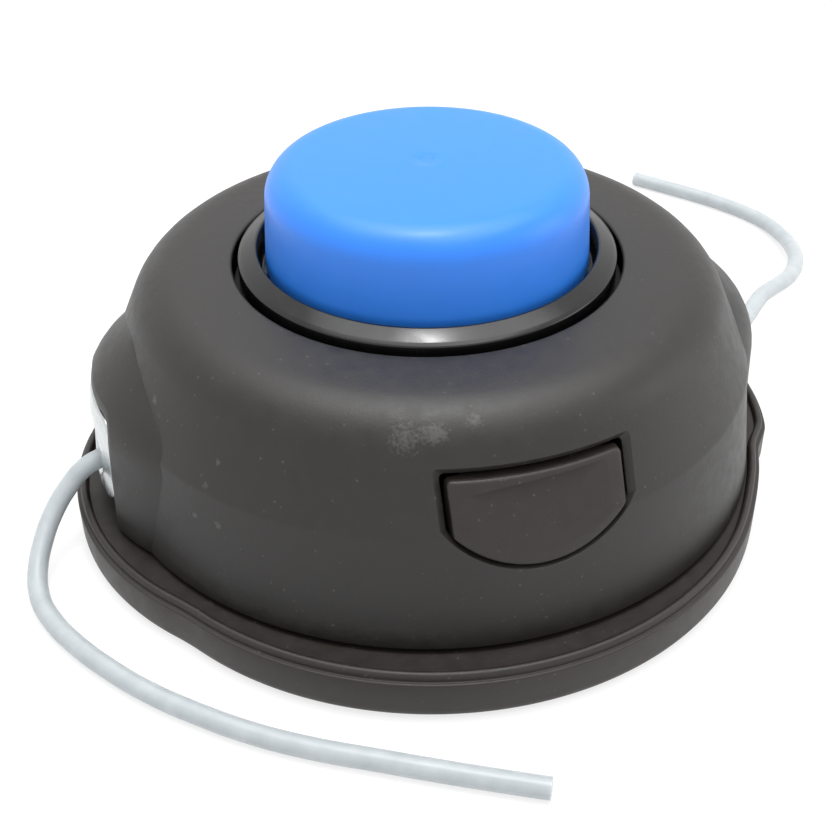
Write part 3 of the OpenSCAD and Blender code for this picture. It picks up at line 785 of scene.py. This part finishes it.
@dataclass(frozen=True)
class LineTail:
    """A free end of the trimmer line, from inside its eyelet to the floor and along it."""

    name: str
    route: tuple[tuple[float, float, float], ...]
    length: float
    diameter: float = 3.3

    def build(self, finishes: Finishes) -> None:
        """Makes the cord and ties it to the head.

        Args:
            finishes: The head's finishes.
        """
        curve = bpy.data.curves.new(self.name, "CURVE")
        curve.dimensions = "3D"
        curve.resolution_u = 8
        curve.bevel_depth = self.diameter / 2 * MM
        curve.bevel_resolution = 6
        curve.use_fill_caps = True
        spline = curve.splines.new("BEZIER")
        spline.bezier_points.add(len(self.route) - 1)
        for point, place in zip(spline.bezier_points, self.route):
            point.co = Vector(place) * MM
            point.handle_left_type = "AUTO"
            point.handle_right_type = "AUTO"
        curve.materials.append(finishes.line)
        cord = bpy.data.objects.new(self.name, curve)
        bpy.context.scene.collection.objects.link(cord)
        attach(cord, Body.HEAD.value)
        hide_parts(self.name.replace("line_end", "line_tail"))
        tuple(MM * v for v in self.route[0])
        log.info("%s: %.1f mm of line", self.name, self.length)


LINE_TAILS = (
    LineTail("line_end_left", (
        (-51, 0, 15.6), (-55, -0.3, 15.4), (-58.5, -0.7, 15.05), (-61.5, -1.2, 13.9),
        (-64.5, -2.4, 11.6), (-67.5, -4.9, 9), (-70, -8.4, 6.2), (-71.7, -12.8, 3.8),
        (-72, -18, 2.3), (-70.7, -23, 1.7), (-67.8, -29.5, 1.7), (-63.5, -36.5, 1.7),
        (-58.3, -43.4, 1.7), (-52.2, -49.8, 1.7), (-45.3, -56, 1.7), (-37.5, -61.6, 1.7),
        (-29.3, -66.5, 1.7), (-21, -71.4, 1.7), (-14.3, -75.2, 1.7), (-7.8, -78.8, 1.7)), 126.5),
    LineTail("line_end_right", (
        (51, 0, 15.6), (55, 0.3, 15.4), (58.5, 0.7, 15.2), (62, 1.8, 15),
        (65.5, 4.2, 14.6), (69, 7.6, 13.9), (73, 11.8, 13.1), (77, 15.8, 12.2),
        (81.5, 19.4, 11), (86, 22.8, 9.8), (90.8, 27, 8.5), (95.3, 32.3, 7.2),
        (99.5, 38.8, 5.6), (102.8, 46, 4), (104.9, 53.6, 2.6), (105.4, 61, 1.8),
        (103.9, 66.8, 1.7), (101, 72.8, 1.7), (97.5, 78.6, 1.7), (93.3, 84.4, 1.7),
        (86.4, 93.6, 1.7)), 126.8),
)


@dataclass(frozen=True)
class Dome:
    """The cover's outer surface, which the latches and the plugs follow."""

    foot_r: float = 57.0
    foot_z: float = 8.0
    band_r: float = 54.7
    band_z: float = 27.0
    shoulder_r: float = 47.305
    shoulder_z: float = 43.564
    opening_r: float = 32.5
    top_z: float = 44.21
    band_round: float = 3.0
    shoulder_round: float = 9.5
    wall: float = 2.5
    rim_r: float = 35.5
    rim_z: float = 40.0
    sides: int = 360
    longest: float = 1.2
    ear_x: float = 26.8
    ear_r: float = 33.1
    ear_face_z: float = 23.6
    ear_lean: float = 0.65
    ear_round: float = 10.8
    ear_slope: float = 46.0
    ear_top_z: float = 36.5
    crease_at: float = 20.0
    crease_least: float = 1.5
    ear_ease: float = 38.0

    def outside(self) -> list[Corner]:
        """Returns the outer outline, from the foot up to the opening."""
        return [Corner(self.foot_r, self.foot_z, 0.35), Corner(self.band_r, self.band_z, self.band_round),
                Corner(self.shoulder_r, self.shoulder_z, self.shoulder_round),
                Corner(self.opening_r, self.top_z, 0.6)]

    def radius(self, z: float) -> float:
        """Returns the outer radius at a height below the shoulder's top.

        Args:
            z: The height.

        Returns:
            The radius, from the rounded outline.
        """
        corners = [Corner(self.foot_r, self.foot_z), *self.outside()[1:]]
        line = soften(corners, closed=False, steps=12)
        for low, high in zip(line, line[1:]):
            if z <= high.y:
                share = (z - low.y) / (high.y - low.y)
                return low.x + share * (high.x - low.x)
        return line[-1].x

    def inside(self) -> list[Corner]:
        """Returns the inner outline, from the rim down to the foot."""
        lines = []
        outer = self.outside()
        for a, b in zip(outer, outer[1:]):
            along = Vector((b.r - a.r, b.z - a.z)).normalized()
            inward = Vector((-along.y, along.x)) * self.wall
            lines.append((Vector((a.r, a.z)) + inward, along))
        corners = []
        for (p, u), (q, v) in zip(lines, lines[1:]):
            share = (q - p).cross(v) / u.cross(v)
            corners.append(p + u * share)
        top_p, top_u = lines[-1]
        under_rim = top_p + top_u * ((self.rim_r - top_p.x) / top_u.x)
        low_p, low_u = lines[0]
        foot = low_p + low_u * ((self.foot_z - low_p.y) / low_u.y)
        return [Corner(under_rim.x, under_rim.y, 0.6),
                Corner(corners[1].x, corners[1].y, self.shoulder_round - self.wall),
                Corner(corners[0].x, corners[0].y, self.band_round), Corner(foot.x, foot.y, 0.35)]

    def nose(self, z: float, depth: float = 0.0) -> float:
        """Returns the radius of an ear's nose at a height.

        Args:
            z: The height.
            depth: How far under the outer surface.

        Returns:
            The radius about the nose's own axis.
        """
        rise = z - self.ear_face_z
        curve = self.ear_round - depth
        flat = self.ear_r - self.ear_lean - self.ear_round
        bend = math.radians(self.ear_slope)
        if rise <= 0:
            share = min((self.ear_face_z - z) / (self.ear_face_z - self.foot_z), 1.0)
            return flat + curve + self.ear_lean * share
        if rise <= curve * math.sin(bend):
            return flat + math.sqrt(curve * curve - rise * rise)
        return flat + curve * math.cos(bend) - (rise - curve * math.sin(bend)) * math.tan(bend)

    def ear(self, angle: float, z: float, depth: float) -> float:
        """Returns how far an ear reaches from the axis.

        Args:
            angle: Direction from the axis of the eyelets, in radians.
            z: Height.
            depth: How far under the outer surface the point lies.

        Returns:
            The distance from the Z axis, or 0 beside the ear.
        """
        reach = self.nose(z, depth)
        aside = self.ear_x * math.sin(angle)
        if reach <= abs(aside):
            return 0.0
        return self.ear_x * math.cos(angle) + math.sqrt(reach * reach - aside * aside)

    def crease(self, wall: float, z: float, depth: float) -> float:
        """Finds the direction in which an ear meets the wall.

        Args:
            wall: The wall's radius there.
            z: Height.
            depth: How far under the outer surface the wall lies.

        Returns:
            The angle from the ear's middle, in radians.
        """
        low, high = 0.0, math.radians(self.ear_ease)
        for _ in range(24):
            middle = (low + high) / 2
            if self.ear(middle, z, depth) > wall:
                low = middle
            else:
                high = middle
        above = ease(self.ear_top_z, self.top_z, z)
        least = self.crease_least + (self.crease_at - self.crease_least) * above
        return max(low, math.radians(least))

    def shape_ears(self, solid: bmesh.types.BMesh) -> None:
        """Pushes the wall out into the two ears, with a row of points along each crease."""
        creases: dict[tuple[float, float], float] = {}
        nominal, end = math.radians(self.crease_at), math.radians(self.ear_ease)
        for vert in solid.verts:
            here = math.hypot(vert.co.x, vert.co.y)
            if here < self.rim_r + 1 or vert.co.z > self.top_z - 1:
                continue
            depth = min(max(self.radius(vert.co.z) - here, 0.0), self.wall)
            angle = math.atan2(abs(vert.co.y), abs(vert.co.x))
            if angle < end:
                row = (round(here, 3), round(vert.co.z, 3))
                if row not in creases:
                    creases[row] = self.crease(here, vert.co.z, depth)
                meet = creases[row]
                share = angle / nominal
                angle = (share * meet if share <= 1
                         else meet + (angle - nominal) * (end - meet) / (end - nominal))
            wanted = max(here, self.ear(angle, vert.co.z, depth))
            vert.co.x = math.copysign(wanted * math.cos(angle), vert.co.x)
            vert.co.y = math.copysign(wanted * math.sin(angle), vert.co.y)

    def on_wall(self, x: float, z: float, off: float, least: float = 0.0) -> Vector:
        """Finds a point in front of the wall on the latches' side.

        Args:
            x: Place across.
            z: Height.
            off: Distance in front of the wall.
            least: The least Y that the point may have.

        Returns:
            The point.
        """
        reach = self.radius(z)
        return Vector((x, -max(math.sqrt(reach * reach - x * x) + off, least), z))


@dataclass(frozen=True)
class LatchShape:
    """The D shape of a latch and of its window, flat top up."""

    half_w: float = 14.05
    top_z: float = 35.6
    corner_z: float = 27.6
    sag: float = 6.6
    corner_round: float = 0.8
    foot_share: float = 0.3
    arc_points: int = 40
    side_points: int = 8

    def outline(self, grow: float, foot: Optional[float] = None) -> list[Vector]:
        """Draws the shape, grown or shrunk.

        Args:
            grow: How far its top and sides move outwards.
            foot: How far its round foot does, by default a share of that.

        Returns:
            Its points, as many whatever it is grown by.
        """
        below = self.foot_share * grow if foot is None else foot
        radius = (self.half_w**2 + self.sag**2) / (2 * self.sag)
        centre = self.corner_z - self.sag + radius
        wide, top = self.half_w + grow, self.top_z + grow
        reach = radius + below
        low = centre - math.sqrt(reach * reach - wide * wide)
        half = math.asin(wide / reach)
        arc = [Vector((reach * math.sin(half * (2 * k / self.arc_points - 1)),
                       centre - reach * math.cos(half * (2 * k / self.arc_points - 1))))
               for k in range(1, self.arc_points)]
        top_round = soften([Corner(wide, low), Corner(wide, top, self.corner_round),
                            Corner(-wide, top, self.corner_round), Corner(-wide, low)], closed=False)
        result = list(arc)
        for i, (a, b) in enumerate(zip(top_round, top_round[1:])):
            long_side = (b - a).length > 2 * self.corner_round
            pieces = (3 if i == len(top_round) // 2 - 1 else 1) * self.side_points if long_side else 1
            result.extend(a.lerp(b, k / pieces) for k in range(pieces))
        result.append(top_round[-1])
        return result


@dataclass(frozen=True)
class UprightShape:
    """A rounded outline that stands across X: an eyelet's body or flange, or the slot round it."""

    half_w: float
    foot_z: float
    top_z: float
    corner: float
    turns: int = 10
    pieces: int = 8

    def outline(self, grow: float) -> list[Vector]:
        """Draws the shape, grown or shrunk, with as many points whatever it is grown by."""
        half, low, high, fillet = (self.half_w + grow, self.foot_z - grow, self.top_z + grow,
                                   self.corner + grow)
        points = soften([Corner(half, low, fillet), Corner(half, high, fillet),
                         Corner(-half, high, fillet), Corner(-half, low, fillet)], steps=self.turns)
        result: list[Vector] = []
        for i, (a, b) in enumerate(zip(points, points[1:] + points[:1])):
            pieces = self.pieces if (i + 1) % (self.turns + 1) == 0 else 1
            result.extend(a.lerp(b, k / pieces) for k in range(pieces))
        return result


@dataclass(frozen=True)
class Cover:
    """The domed shell, with its ears, its latch windows and its eyelet slots."""

    dome: Dome = Dome()
    window: LatchShape = LatchShape()
    slot: UprightShape = UprightShape(10.3, -2.0, 28.2, 3.3, pieces=16)
    window_steps: tuple[Step, ...] = (
        Step(1.45, 4.0), Step(1.45, 0.35), Step(1.20, 0.03), Step(1.08, -0.06), Step(0.98, -0.18),
        Step(0.12, -0.98), Step(0.03, -1.08), Step(0.0, -1.2), Step(0.0, -8.0))
    slot_steps: tuple[Step, ...] = (
        Step(1.8, 4.0), Step(1.8, 0.12), Step(1.5, -0.02), Step(1.0, -0.10), Step(0.4, -0.30),
        Step(0.1, -0.45), Step(0.0, -0.7), Step(0.0, -9.5))

    def on_nose(self, y: float, z: float, off: float) -> Vector:
        """Finds a point off the ear's round nose; those well off it lie in one plane."""
        if abs(off) > self.dome.wall:
            return Vector((self.dome.ear_x + self.dome.ear_r + off, y, z))
        reach = self.dome.nose(z) + off
        return Vector((self.dome.ear_x + math.sqrt(reach * reach - y * y), y, z))

    def build(self, finishes: Finishes) -> None:
        """Makes the cover.

        Args:
            finishes: The head's finishes.
        """
        dome = self.dome
        corners = [*dome.outside(), Corner(dome.opening_r, dome.rim_z, 0.4),
                   Corner(dome.rim_r, dome.rim_z, 0.3), *dome.inside()]
        solid = turned(spread(soften(corners, steps=8), dome.longest), dome.sides)
        dome.shape_ears(solid)
        piece = as_object("cover_shell", solid)
        windows = both_sides(plug(self.window.outline, dome.on_wall, self.window_steps))
        slots = both_sides(plug(self.slot.outline, self.on_nose, self.slot_steps))
        combine(piece, merged([windows, slots]), Cut.TAKE)
        settle(piece, Body.HEAD, "cover_black", finishes.cover, "cover", sharp=14.0)


@dataclass(frozen=True)
class Housing:
    """The base: skirt with its bead, shelf, hub, ribs and the two springy latches."""

    dome: Dome = Dome()
    latch: LatchShape = LatchShape()
    skirt_r: float = 59.4
    skirt_wall: float = 4.0
    shelf_z: float = 7.2
    seat_z: float = 8.0
    bead_set: float = 0.7
    bead_w: float = 1.3
    bead_h: float = 1.4
    foot_round: float = 2.6
    plate_z: float = 3.8
    seat_r: float = 55.3
    wall_out_r: float = 53.0
    wall_in_r: float = 51.0
    wall_z: float = 16.0
    hub_r: float = 13.5
    hub_z: float = 29.5
    roof_z: float = 27.0
    bore_r: float = 6.5
    hub_foot_z: float = 0.4
    insert_flats: float = 17.0
    insert_len: float = 18.0
    lobe_turn: float = 77.0
    lobe_shift: float = 6.4
    lobe_r: float = 57.0
    ear_turn: float = 7.0
    ear_shift: float = 14.5
    ear_r: float = 49.0
    ear_start: float = 21.5
    ear_ease: float = 4.5
    ribs: int = 12
    rib_t: float = 1.8
    tongue_y: float = 48.0
    tongue_t: float = 2.4
    tongue_half: float = 10.0
    body_room: tuple[float, float] = (10.3, 11.3)
    flange_room: tuple[float, float] = (11.7, 9.9)
    flange_room_x: float = 54.49
    saddle_half: float = 12.9
    saddle_z: float = 16.8
    saddle_in: float = 3.3
    gap: float = 0.7
    foot_gap: float = 0.35
    latch_steps: tuple[Step, ...] = (
        Step(-0.50, 0.5), Step(-0.36, 0.02), Step(-0.24, -0.03), Step(-0.10, -0.12), Step(-0.02, -0.24),
        Step(0.0, -0.4), Step(0.0, -20.0))

    def reach(self, angle: float) -> float:
        """Returns how far the skirt reaches, alike after half a turn.

        Args:
            angle: Direction, in degrees from an eyelet.

        Returns:
            The distance from the Z axis.
        """

        def swell(turn: float, shift: float, radius: float) -> float:
            """Returns the reach of a circle whose centre is moved out in a direction."""
            away = math.radians((angle - turn + 90) % 180 - 90)
            return shift * math.cos(away) + math.sqrt(radius**2 - (shift * math.sin(away)) ** 2)

        lobe = smooth_max(self.skirt_r, swell(self.lobe_turn, self.lobe_shift, self.lobe_r), 0.6)
        ear = swell(self.ear_turn, self.ear_shift, self.ear_r)
        folded = (angle + 90) % 180 - 90
        share = ease(-self.ear_start - self.ear_ease, -self.ear_start + self.ear_ease, folded)
        return lobe + (smooth_max(lobe, ear, 0.6) - lobe) * share

    def shape_skirt(self, solid: bmesh.types.BMesh) -> None:
        """Pushes the skirt out into its lobes and its ears."""
        for vert in solid.verts:
            here = math.hypot(vert.co.x, vert.co.y)
            if vert.co.z < self.plate_z + 0.1:
                share = ease(self.seat_r - 6, self.seat_r - 0.2, here)
            else:
                low = vert.co.z < self.shelf_z + self.bead_h + 0.1
                share = float(low and here > self.seat_r + 0.2)
            if share > 0:
                more = self.reach(math.degrees(math.atan2(vert.co.y, vert.co.x))) - self.skirt_r
                vert.co.xy *= (here + share * more) / here

    def body(self) -> bpy.types.Object:
        """Turns the base's round body and shapes its skirt."""
        edge = self.skirt_r
        bead_out, bead_in = edge - self.bead_set, edge - self.bead_set - self.bead_w
        inner = edge - self.skirt_wall
        bead_z = self.shelf_z + self.bead_h
        corners = [
            Corner(0, self.hub_z), Corner(self.hub_r, self.hub_z, 0.5), Corner(self.hub_r, self.seat_z, 0.5),
            Corner(self.wall_in_r, self.seat_z, 0.4), Corner(self.wall_in_r, self.wall_z, 0.3),
            Corner(self.wall_out_r, self.wall_z, 0.5), Corner(self.wall_out_r, self.seat_z, 0.2),
            Corner(self.seat_r, self.seat_z, 0.2), Corner(self.seat_r, self.shelf_z, 0.1),
            Corner(bead_in, self.shelf_z, 0.25), Corner(bead_in, bead_z, 0.62),
            Corner(bead_out, bead_z, 0.62), Corner(bead_out, self.shelf_z, 0.2),
            Corner(edge, self.shelf_z, 0.3), Corner(edge, 0, self.foot_round), Corner(inner, 0, 0.5),
            Corner(inner, self.plate_z, 0.5), Corner(self.hub_r, self.plate_z, 0.5),
            Corner(self.hub_r, self.hub_foot_z, 0.4), Corner(self.bore_r, self.hub_foot_z, 0.2),
            Corner(self.bore_r, self.roof_z, 0.3), Corner(0, self.roof_z)]
        solid = turned(spread(soften(corners, closed=False, steps=5), 2.5, closed=False),
                       self.dome.sides, closed=False)
        self.shape_skirt(solid)
        return as_object("base_housing", solid)

    def hollows(self) -> list[bmesh.types.BMesh]:
        """Makes what is cut from the base: latch gaps, eyelet seats and the insert's pocket."""
        slot, end = self.tongue_half + 2, self.dome.foot_r
        gaps = both_sides(block((-slot, self.wall_in_r - 5, self.seat_z + 0.01), (slot, end, 30)))
        half, low = self.body_room
        bodies = both_sides(block((self.wall_in_r - 5, -half, low), (end + 5, half, 30)))
        half, low = self.flange_room
        flanges = both_sides(block((self.wall_in_r - 6, -half, low), (self.flange_room_x, half, 31)))
        pocket = rod(self.insert_flats / 2 / math.cos(math.pi / 6), -5, self.hub_foot_z + self.insert_len, 6)
        bmesh.ops.rotate(pocket, verts=pocket.verts[:], matrix=Matrix.Rotation(math.radians(30), 3, "Z"))
        return [merged([gaps, bodies, pocket]), flanges]

    def saddles(self) -> bmesh.types.BMesh:
        """Makes the saddles that stand under the eyelets, inside the ears."""
        nose = rod(self.dome.ear_r - self.saddle_in, self.plate_z + 0.6, self.saddle_z, 160)
        bmesh.ops.translate(nose, verts=nose.verts[:], vec=(self.dome.ear_x, 0, 0))
        piece = as_object("saddle", nose)
        combine(piece, block((self.wall_out_r - 1, -self.saddle_half, 0),
                             (self.dome.foot_r + 5, self.saddle_half, 30)), Cut.KEEP)
        solid = bmesh.new()
        solid.from_mesh(piece.data)
        bpy.data.objects.remove(piece)
        return both_sides(solid)

    def ribs_and_tongues(self) -> bmesh.types.BMesh:
        """Makes what is added to the base: the ribs under it and the latches' tongues."""
        turns = [(i + 0.5) * 360 / self.ribs for i in range(self.ribs)]
        parts = [block((self.hub_r - 1, -self.rib_t / 2, self.hub_foot_z),
                       (self.reach(turn) - self.skirt_wall + 0.5, self.rib_t / 2, self.plate_z + 0.3),
                       turn, 0.25)
                 for turn in turns]
        for turn in (0, 180):
            parts.append(block((-self.tongue_half, -self.tongue_y - self.tongue_t, self.plate_z + 0.6),
                               (self.tongue_half, -self.tongue_y, self.latch.corner_z), turn, 0.3))
        return merged(parts)

    def heads(self) -> bmesh.types.BMesh:
        """Cuts the latch heads out of the dome's own shape, so that they lie flush in it."""
        dome = self.dome
        line = soften([Corner(0, dome.foot_z), *dome.outside(), Corner(0, dome.top_z)], closed=False)
        piece = as_object("latch_heads", turned(spread(line, dome.longest, closed=False), dome.sides,
                                                closed=False))

        def shrunk(grow: float) -> list[Vector]:
            """Draws the latch, as much smaller than its window as its gaps ask."""
            return self.latch.outline(grow - self.gap, grow - self.foot_gap)

        def place(x: float, z: float, off: float) -> Vector:
            """Finds a point on the latch, whose back is flat."""
            return dome.on_wall(x, z, off, self.tongue_y)

        combine(piece, both_sides(plug(shrunk, place, self.latch_steps)), Cut.KEEP)
        solid = bmesh.new()
        solid.from_mesh(piece.data)
        bpy.data.objects.remove(piece)
        return solid

    def build(self, finishes: Finishes) -> None:
        """Makes the base.

        Args:
            finishes: The head's finishes.
        """
        piece = self.body()
        combine(piece, self.saddles(), Cut.ADD)
        for tool in self.hollows():
            combine(piece, tool, Cut.TAKE)
        combine(piece, self.ribs_and_tongues(), Cut.ADD)
        combine(piece, self.heads(), Cut.ADD)
        settle(piece, Body.HEAD, "housing_black", finishes.housing, "upper_housing")


@dataclass(frozen=True)
class Holder:
    """The polished dish round the button: its rim, its floor and the bearing's post."""

    foot_z: float = 39.71
    out_r: float = 31.5
    side_z: float = 44.95
    crest_r: float = 30.9
    crest_z: float = 45.4
    in_r: float = 28.2
    top_z: float = 46.8
    floor_z: float = 42.01
    shoulder_r: float = 8.2
    bearing_z: float = 44.51
    post_r: float = 5.98
    post_z: float = 52.31
    screw_r: float = 2.5
    screw_z: float = 40.7

    def build(self, finishes: Finishes) -> None:
        """Makes the dish.

        Args:
            finishes: The head's finishes.
        """
        corners = [
            Corner(0, self.foot_z), Corner(self.out_r, self.foot_z, 0.4), Corner(self.out_r, self.side_z, 0.4),
            Corner(self.crest_r, self.crest_z, 0.8), Corner(self.in_r, self.top_z, 0.4),
            Corner(self.in_r, self.floor_z, 0.8), Corner(self.shoulder_r, self.floor_z, 0.4),
            Corner(self.shoulder_r, self.bearing_z, 0.2), Corner(self.post_r, self.bearing_z, 0.1),
            Corner(self.post_r, self.post_z, 0.4), Corner(self.screw_r, self.post_z, 0.2),
            Corner(self.screw_r, self.screw_z), Corner(0, self.screw_z)]
        solid = turned(spread(soften(corners, closed=False, steps=8), 3.0, closed=False), 256, closed=False)
        settle(as_object("button_dish", solid), Body.SPOOL, "holder_black", finishes.rim, "button_holder")


@dataclass(frozen=True)
class Button:
    """The blue bump button: a crowned cap, the boss round its bearing and the ribs between them."""

    foot_z: float = 43.61
    foot_r: float = 27.0
    top_r: float = 26.05
    edge_z: float = 60.25
    crown_z: float = 60.6
    edge_round: float = 5.2
    wall: float = 2.6
    roof_z: float = 57.31
    boss_r: float = 16.4
    boss_z: float = 42.51
    bearing_r: float = 14.02
    bearing_z: float = 44.51
    bearing_top_z: float = 52.51
    stop_r: float = 12.8
    groove_r: float = 14.9
    groove_low_z: float = 43.47
    groove_high_z: float = 44.55
    ribs: int = 6
    rib_t: float = 1.6
    gate_r: float = 1.1
    gate_depth: float = 0.12

    def crown(self) -> list[Corner]:
        """Returns the crown's outline from the gate mark at its middle to the edge's round."""
        rise = self.crown_z - self.edge_z
        sphere = (self.top_r**2 + rise**2) / (2 * rise)
        reaches = [self.gate_r + 0.25, 5, 9, 13]
        line = [Corner(r, self.crown_z - sphere + math.sqrt(sphere**2 - r**2)) for r in reaches]
        low = self.crown_z - self.gate_depth
        return [Corner(0, low), Corner(self.gate_r, low, 0.1), *line]

    def build(self, finishes: Finishes) -> None:
        """Makes the button.

        Args:
            finishes: The head's finishes.
        """
        inner = self.foot_r - self.wall
        corners = [
            *self.crown(), Corner(self.top_r, self.edge_z, self.edge_round),
            Corner(self.foot_r, self.foot_z, 0.4), Corner(inner, self.foot_z, 0.4),
            Corner(inner, self.roof_z, self.edge_round - self.wall), Corner(self.boss_r, self.roof_z, 0.5),
            Corner(self.boss_r, self.boss_z, 0.3), Corner(self.bearing_r, self.boss_z, 0.3),
            Corner(self.bearing_r, self.groove_low_z), Corner(self.groove_r, self.groove_low_z),
            Corner(self.groove_r, self.groove_high_z), Corner(self.bearing_r, self.groove_high_z),
            Corner(self.bearing_r, self.bearing_top_z), Corner(self.stop_r, self.bearing_top_z, 0.2),
            Corner(self.stop_r, self.roof_z, 0.3), Corner(0, self.roof_z)]
        solid = turned(spread(soften(corners, closed=False, steps=10), 3.0, closed=False), 256, closed=False)
        piece = as_object("bump_button", solid)
        ribs = [block((self.boss_r - 1, -self.rib_t / 2, self.bearing_z),
                      (inner + 0.5, self.rib_t / 2, self.roof_z + 0.3), i * 360 / self.ribs)
                for i in range(self.ribs)]
        combine(piece, merged(ribs), Cut.ADD)
        settle(piece, Body.BUTTON, "button_blue", finishes.button, "button_cap")


@dataclass(frozen=True)
class Eyelet:
    """An upright metal bush whose curved face guides the line out of an ear."""

    dome: Dome = Dome()
    recess: float = 0.65
    body: UprightShape = UprightShape(10.0, 11.6, 27.3, 3.0)
    flange: UprightShape = UprightShape(11.4, 10.2, 24.6, 3.0)
    flange_x: float = 52.39
    flange_t: float = 1.8
    hole_z: float = 17.8
    hole_r: float = 4.6
    mouth: float = 1.2
    edge: float = 0.3
    face_rings: int = 16
    mouth_rings: int = 6

    def on_face(self, y: float, z: float, depth: float) -> Vector:
        """Finds a point at a depth under the face, which follows the ear's nose."""
        reach = self.dome.nose(z) - self.recess
        return Vector((self.dome.ear_x + math.sqrt(reach * reach - y * y) - depth, y, z))

    def rings(self) -> list[list[Vector]]:
        """Draws the bush's rings, from the back of the hole round its outside and into the hole."""
        outer, front = self.body.outline(0.0), self.flange_x + self.flange_t
        wide = self.flange.outline(0.0)
        rim = self.body.outline(-self.edge)
        ways = [(p - Vector((0, self.hole_z))).normalized() for p in rim]

        def hole(radius: float) -> list[Vector]:
            """Draws a circle round the hole's axis, its points in line with the rim's."""
            return [Vector((0, self.hole_z)) + way * radius for way in ways]

        mouth = hole(self.hole_r + self.mouth)
        result = [[Vector((x, p.x, p.y)) for p in points] for x, points in (
            (self.flange_x, hole(self.hole_r + 0.3)), (self.flange_x, self.flange.outline(-0.3)),
            (self.flange_x + 0.3, wide), (front, wide), (front, outer))]
        for k in range(4):
            bend = math.radians(90 * k / 3)
            ring = self.body.outline(-self.edge * (1 - math.cos(bend)))
            result.append([self.on_face(p.x, p.y, self.edge * (1 - math.sin(bend))) for p in ring])
        for k in range(1, self.face_rings):
            share = k / self.face_rings
            ring = [a.lerp(b, share) for a, b in zip(rim, mouth)]
            result.append([self.on_face(p.x, p.y, 0.0) for p in ring])
        for k in range(self.mouth_rings + 1):
            bend = math.radians(90 * k / self.mouth_rings)
            ring = hole(self.hole_r + self.mouth * (1 - math.sin(bend)))
            result.append([self.on_face(p.x, p.y, self.mouth * (1 - math.cos(bend))) for p in ring])
        result.append([Vector((self.flange_x + 0.3, p.x, p.y)) for p in hole(self.hole_r)])
        return result

    def build(self, finishes: Finishes) -> None:
        """Makes both eyelets.

        Args:
            finishes: The head's finishes.
        """
        for name, turn in (("left", 180), ("right", 0)):
            solid = looped(self.rings())
            bmesh.ops.rotate(solid, verts=solid.verts[:], matrix=Matrix.Rotation(math.radians(turn), 3, "Z"))
            settle(as_object(f"eyelet_bush_{name}", solid), Body.HEAD, "eyelet_alloy", finishes.eyelet,
                   f"eyelet_{name}")


def dress_inner_parts(nodes: dict[str, bpy.types.Object], finishes: Finishes) -> None:
    """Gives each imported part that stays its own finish.

    Args:
        nodes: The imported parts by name.
        finishes: The head's finishes.
    """
    choice = {
        "threaded_insert": finishes.insert, "spring_washer": finishes.zinc, "spring": finishes.spring,
        "spool": finishes.spool, "winding_lower": finishes.line, "winding_upper": finishes.line,
        "bearing_inner_ring": finishes.bearing, "bearing_outer_ring": finishes.bearing,
        "bearing_shields": finishes.zinc, "bearing_cage": finishes.cage, "bearing_balls": finishes.balls,
        "holder_washer": finishes.zinc, "button_screw": finishes.zinc, "button_circlip": finishes.spring}
    for name, material in choice.items():
        mesh = nodes[name].data
        mesh.materials.clear()
        mesh.materials.append(material)
        log.info("%s: %s", name, material.name)


def main() -> None:
    """Loads the frame and builds the head around it."""
    logging.basicConfig(level=logging.INFO, format="%(name)s: %(message)s")
    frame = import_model()
    Camera().build()
    finishes = Finishes()
    for tail in LINE_TAILS:
        tail.build(finishes)
    Studio().build()
    for assembly in (Cover(), Housing(), Holder(), Button(), Eyelet()):
        assembly.build(finishes)
    dress_inner_parts(frame["nodes"], finishes)


if __name__ == "__main__":
    main()
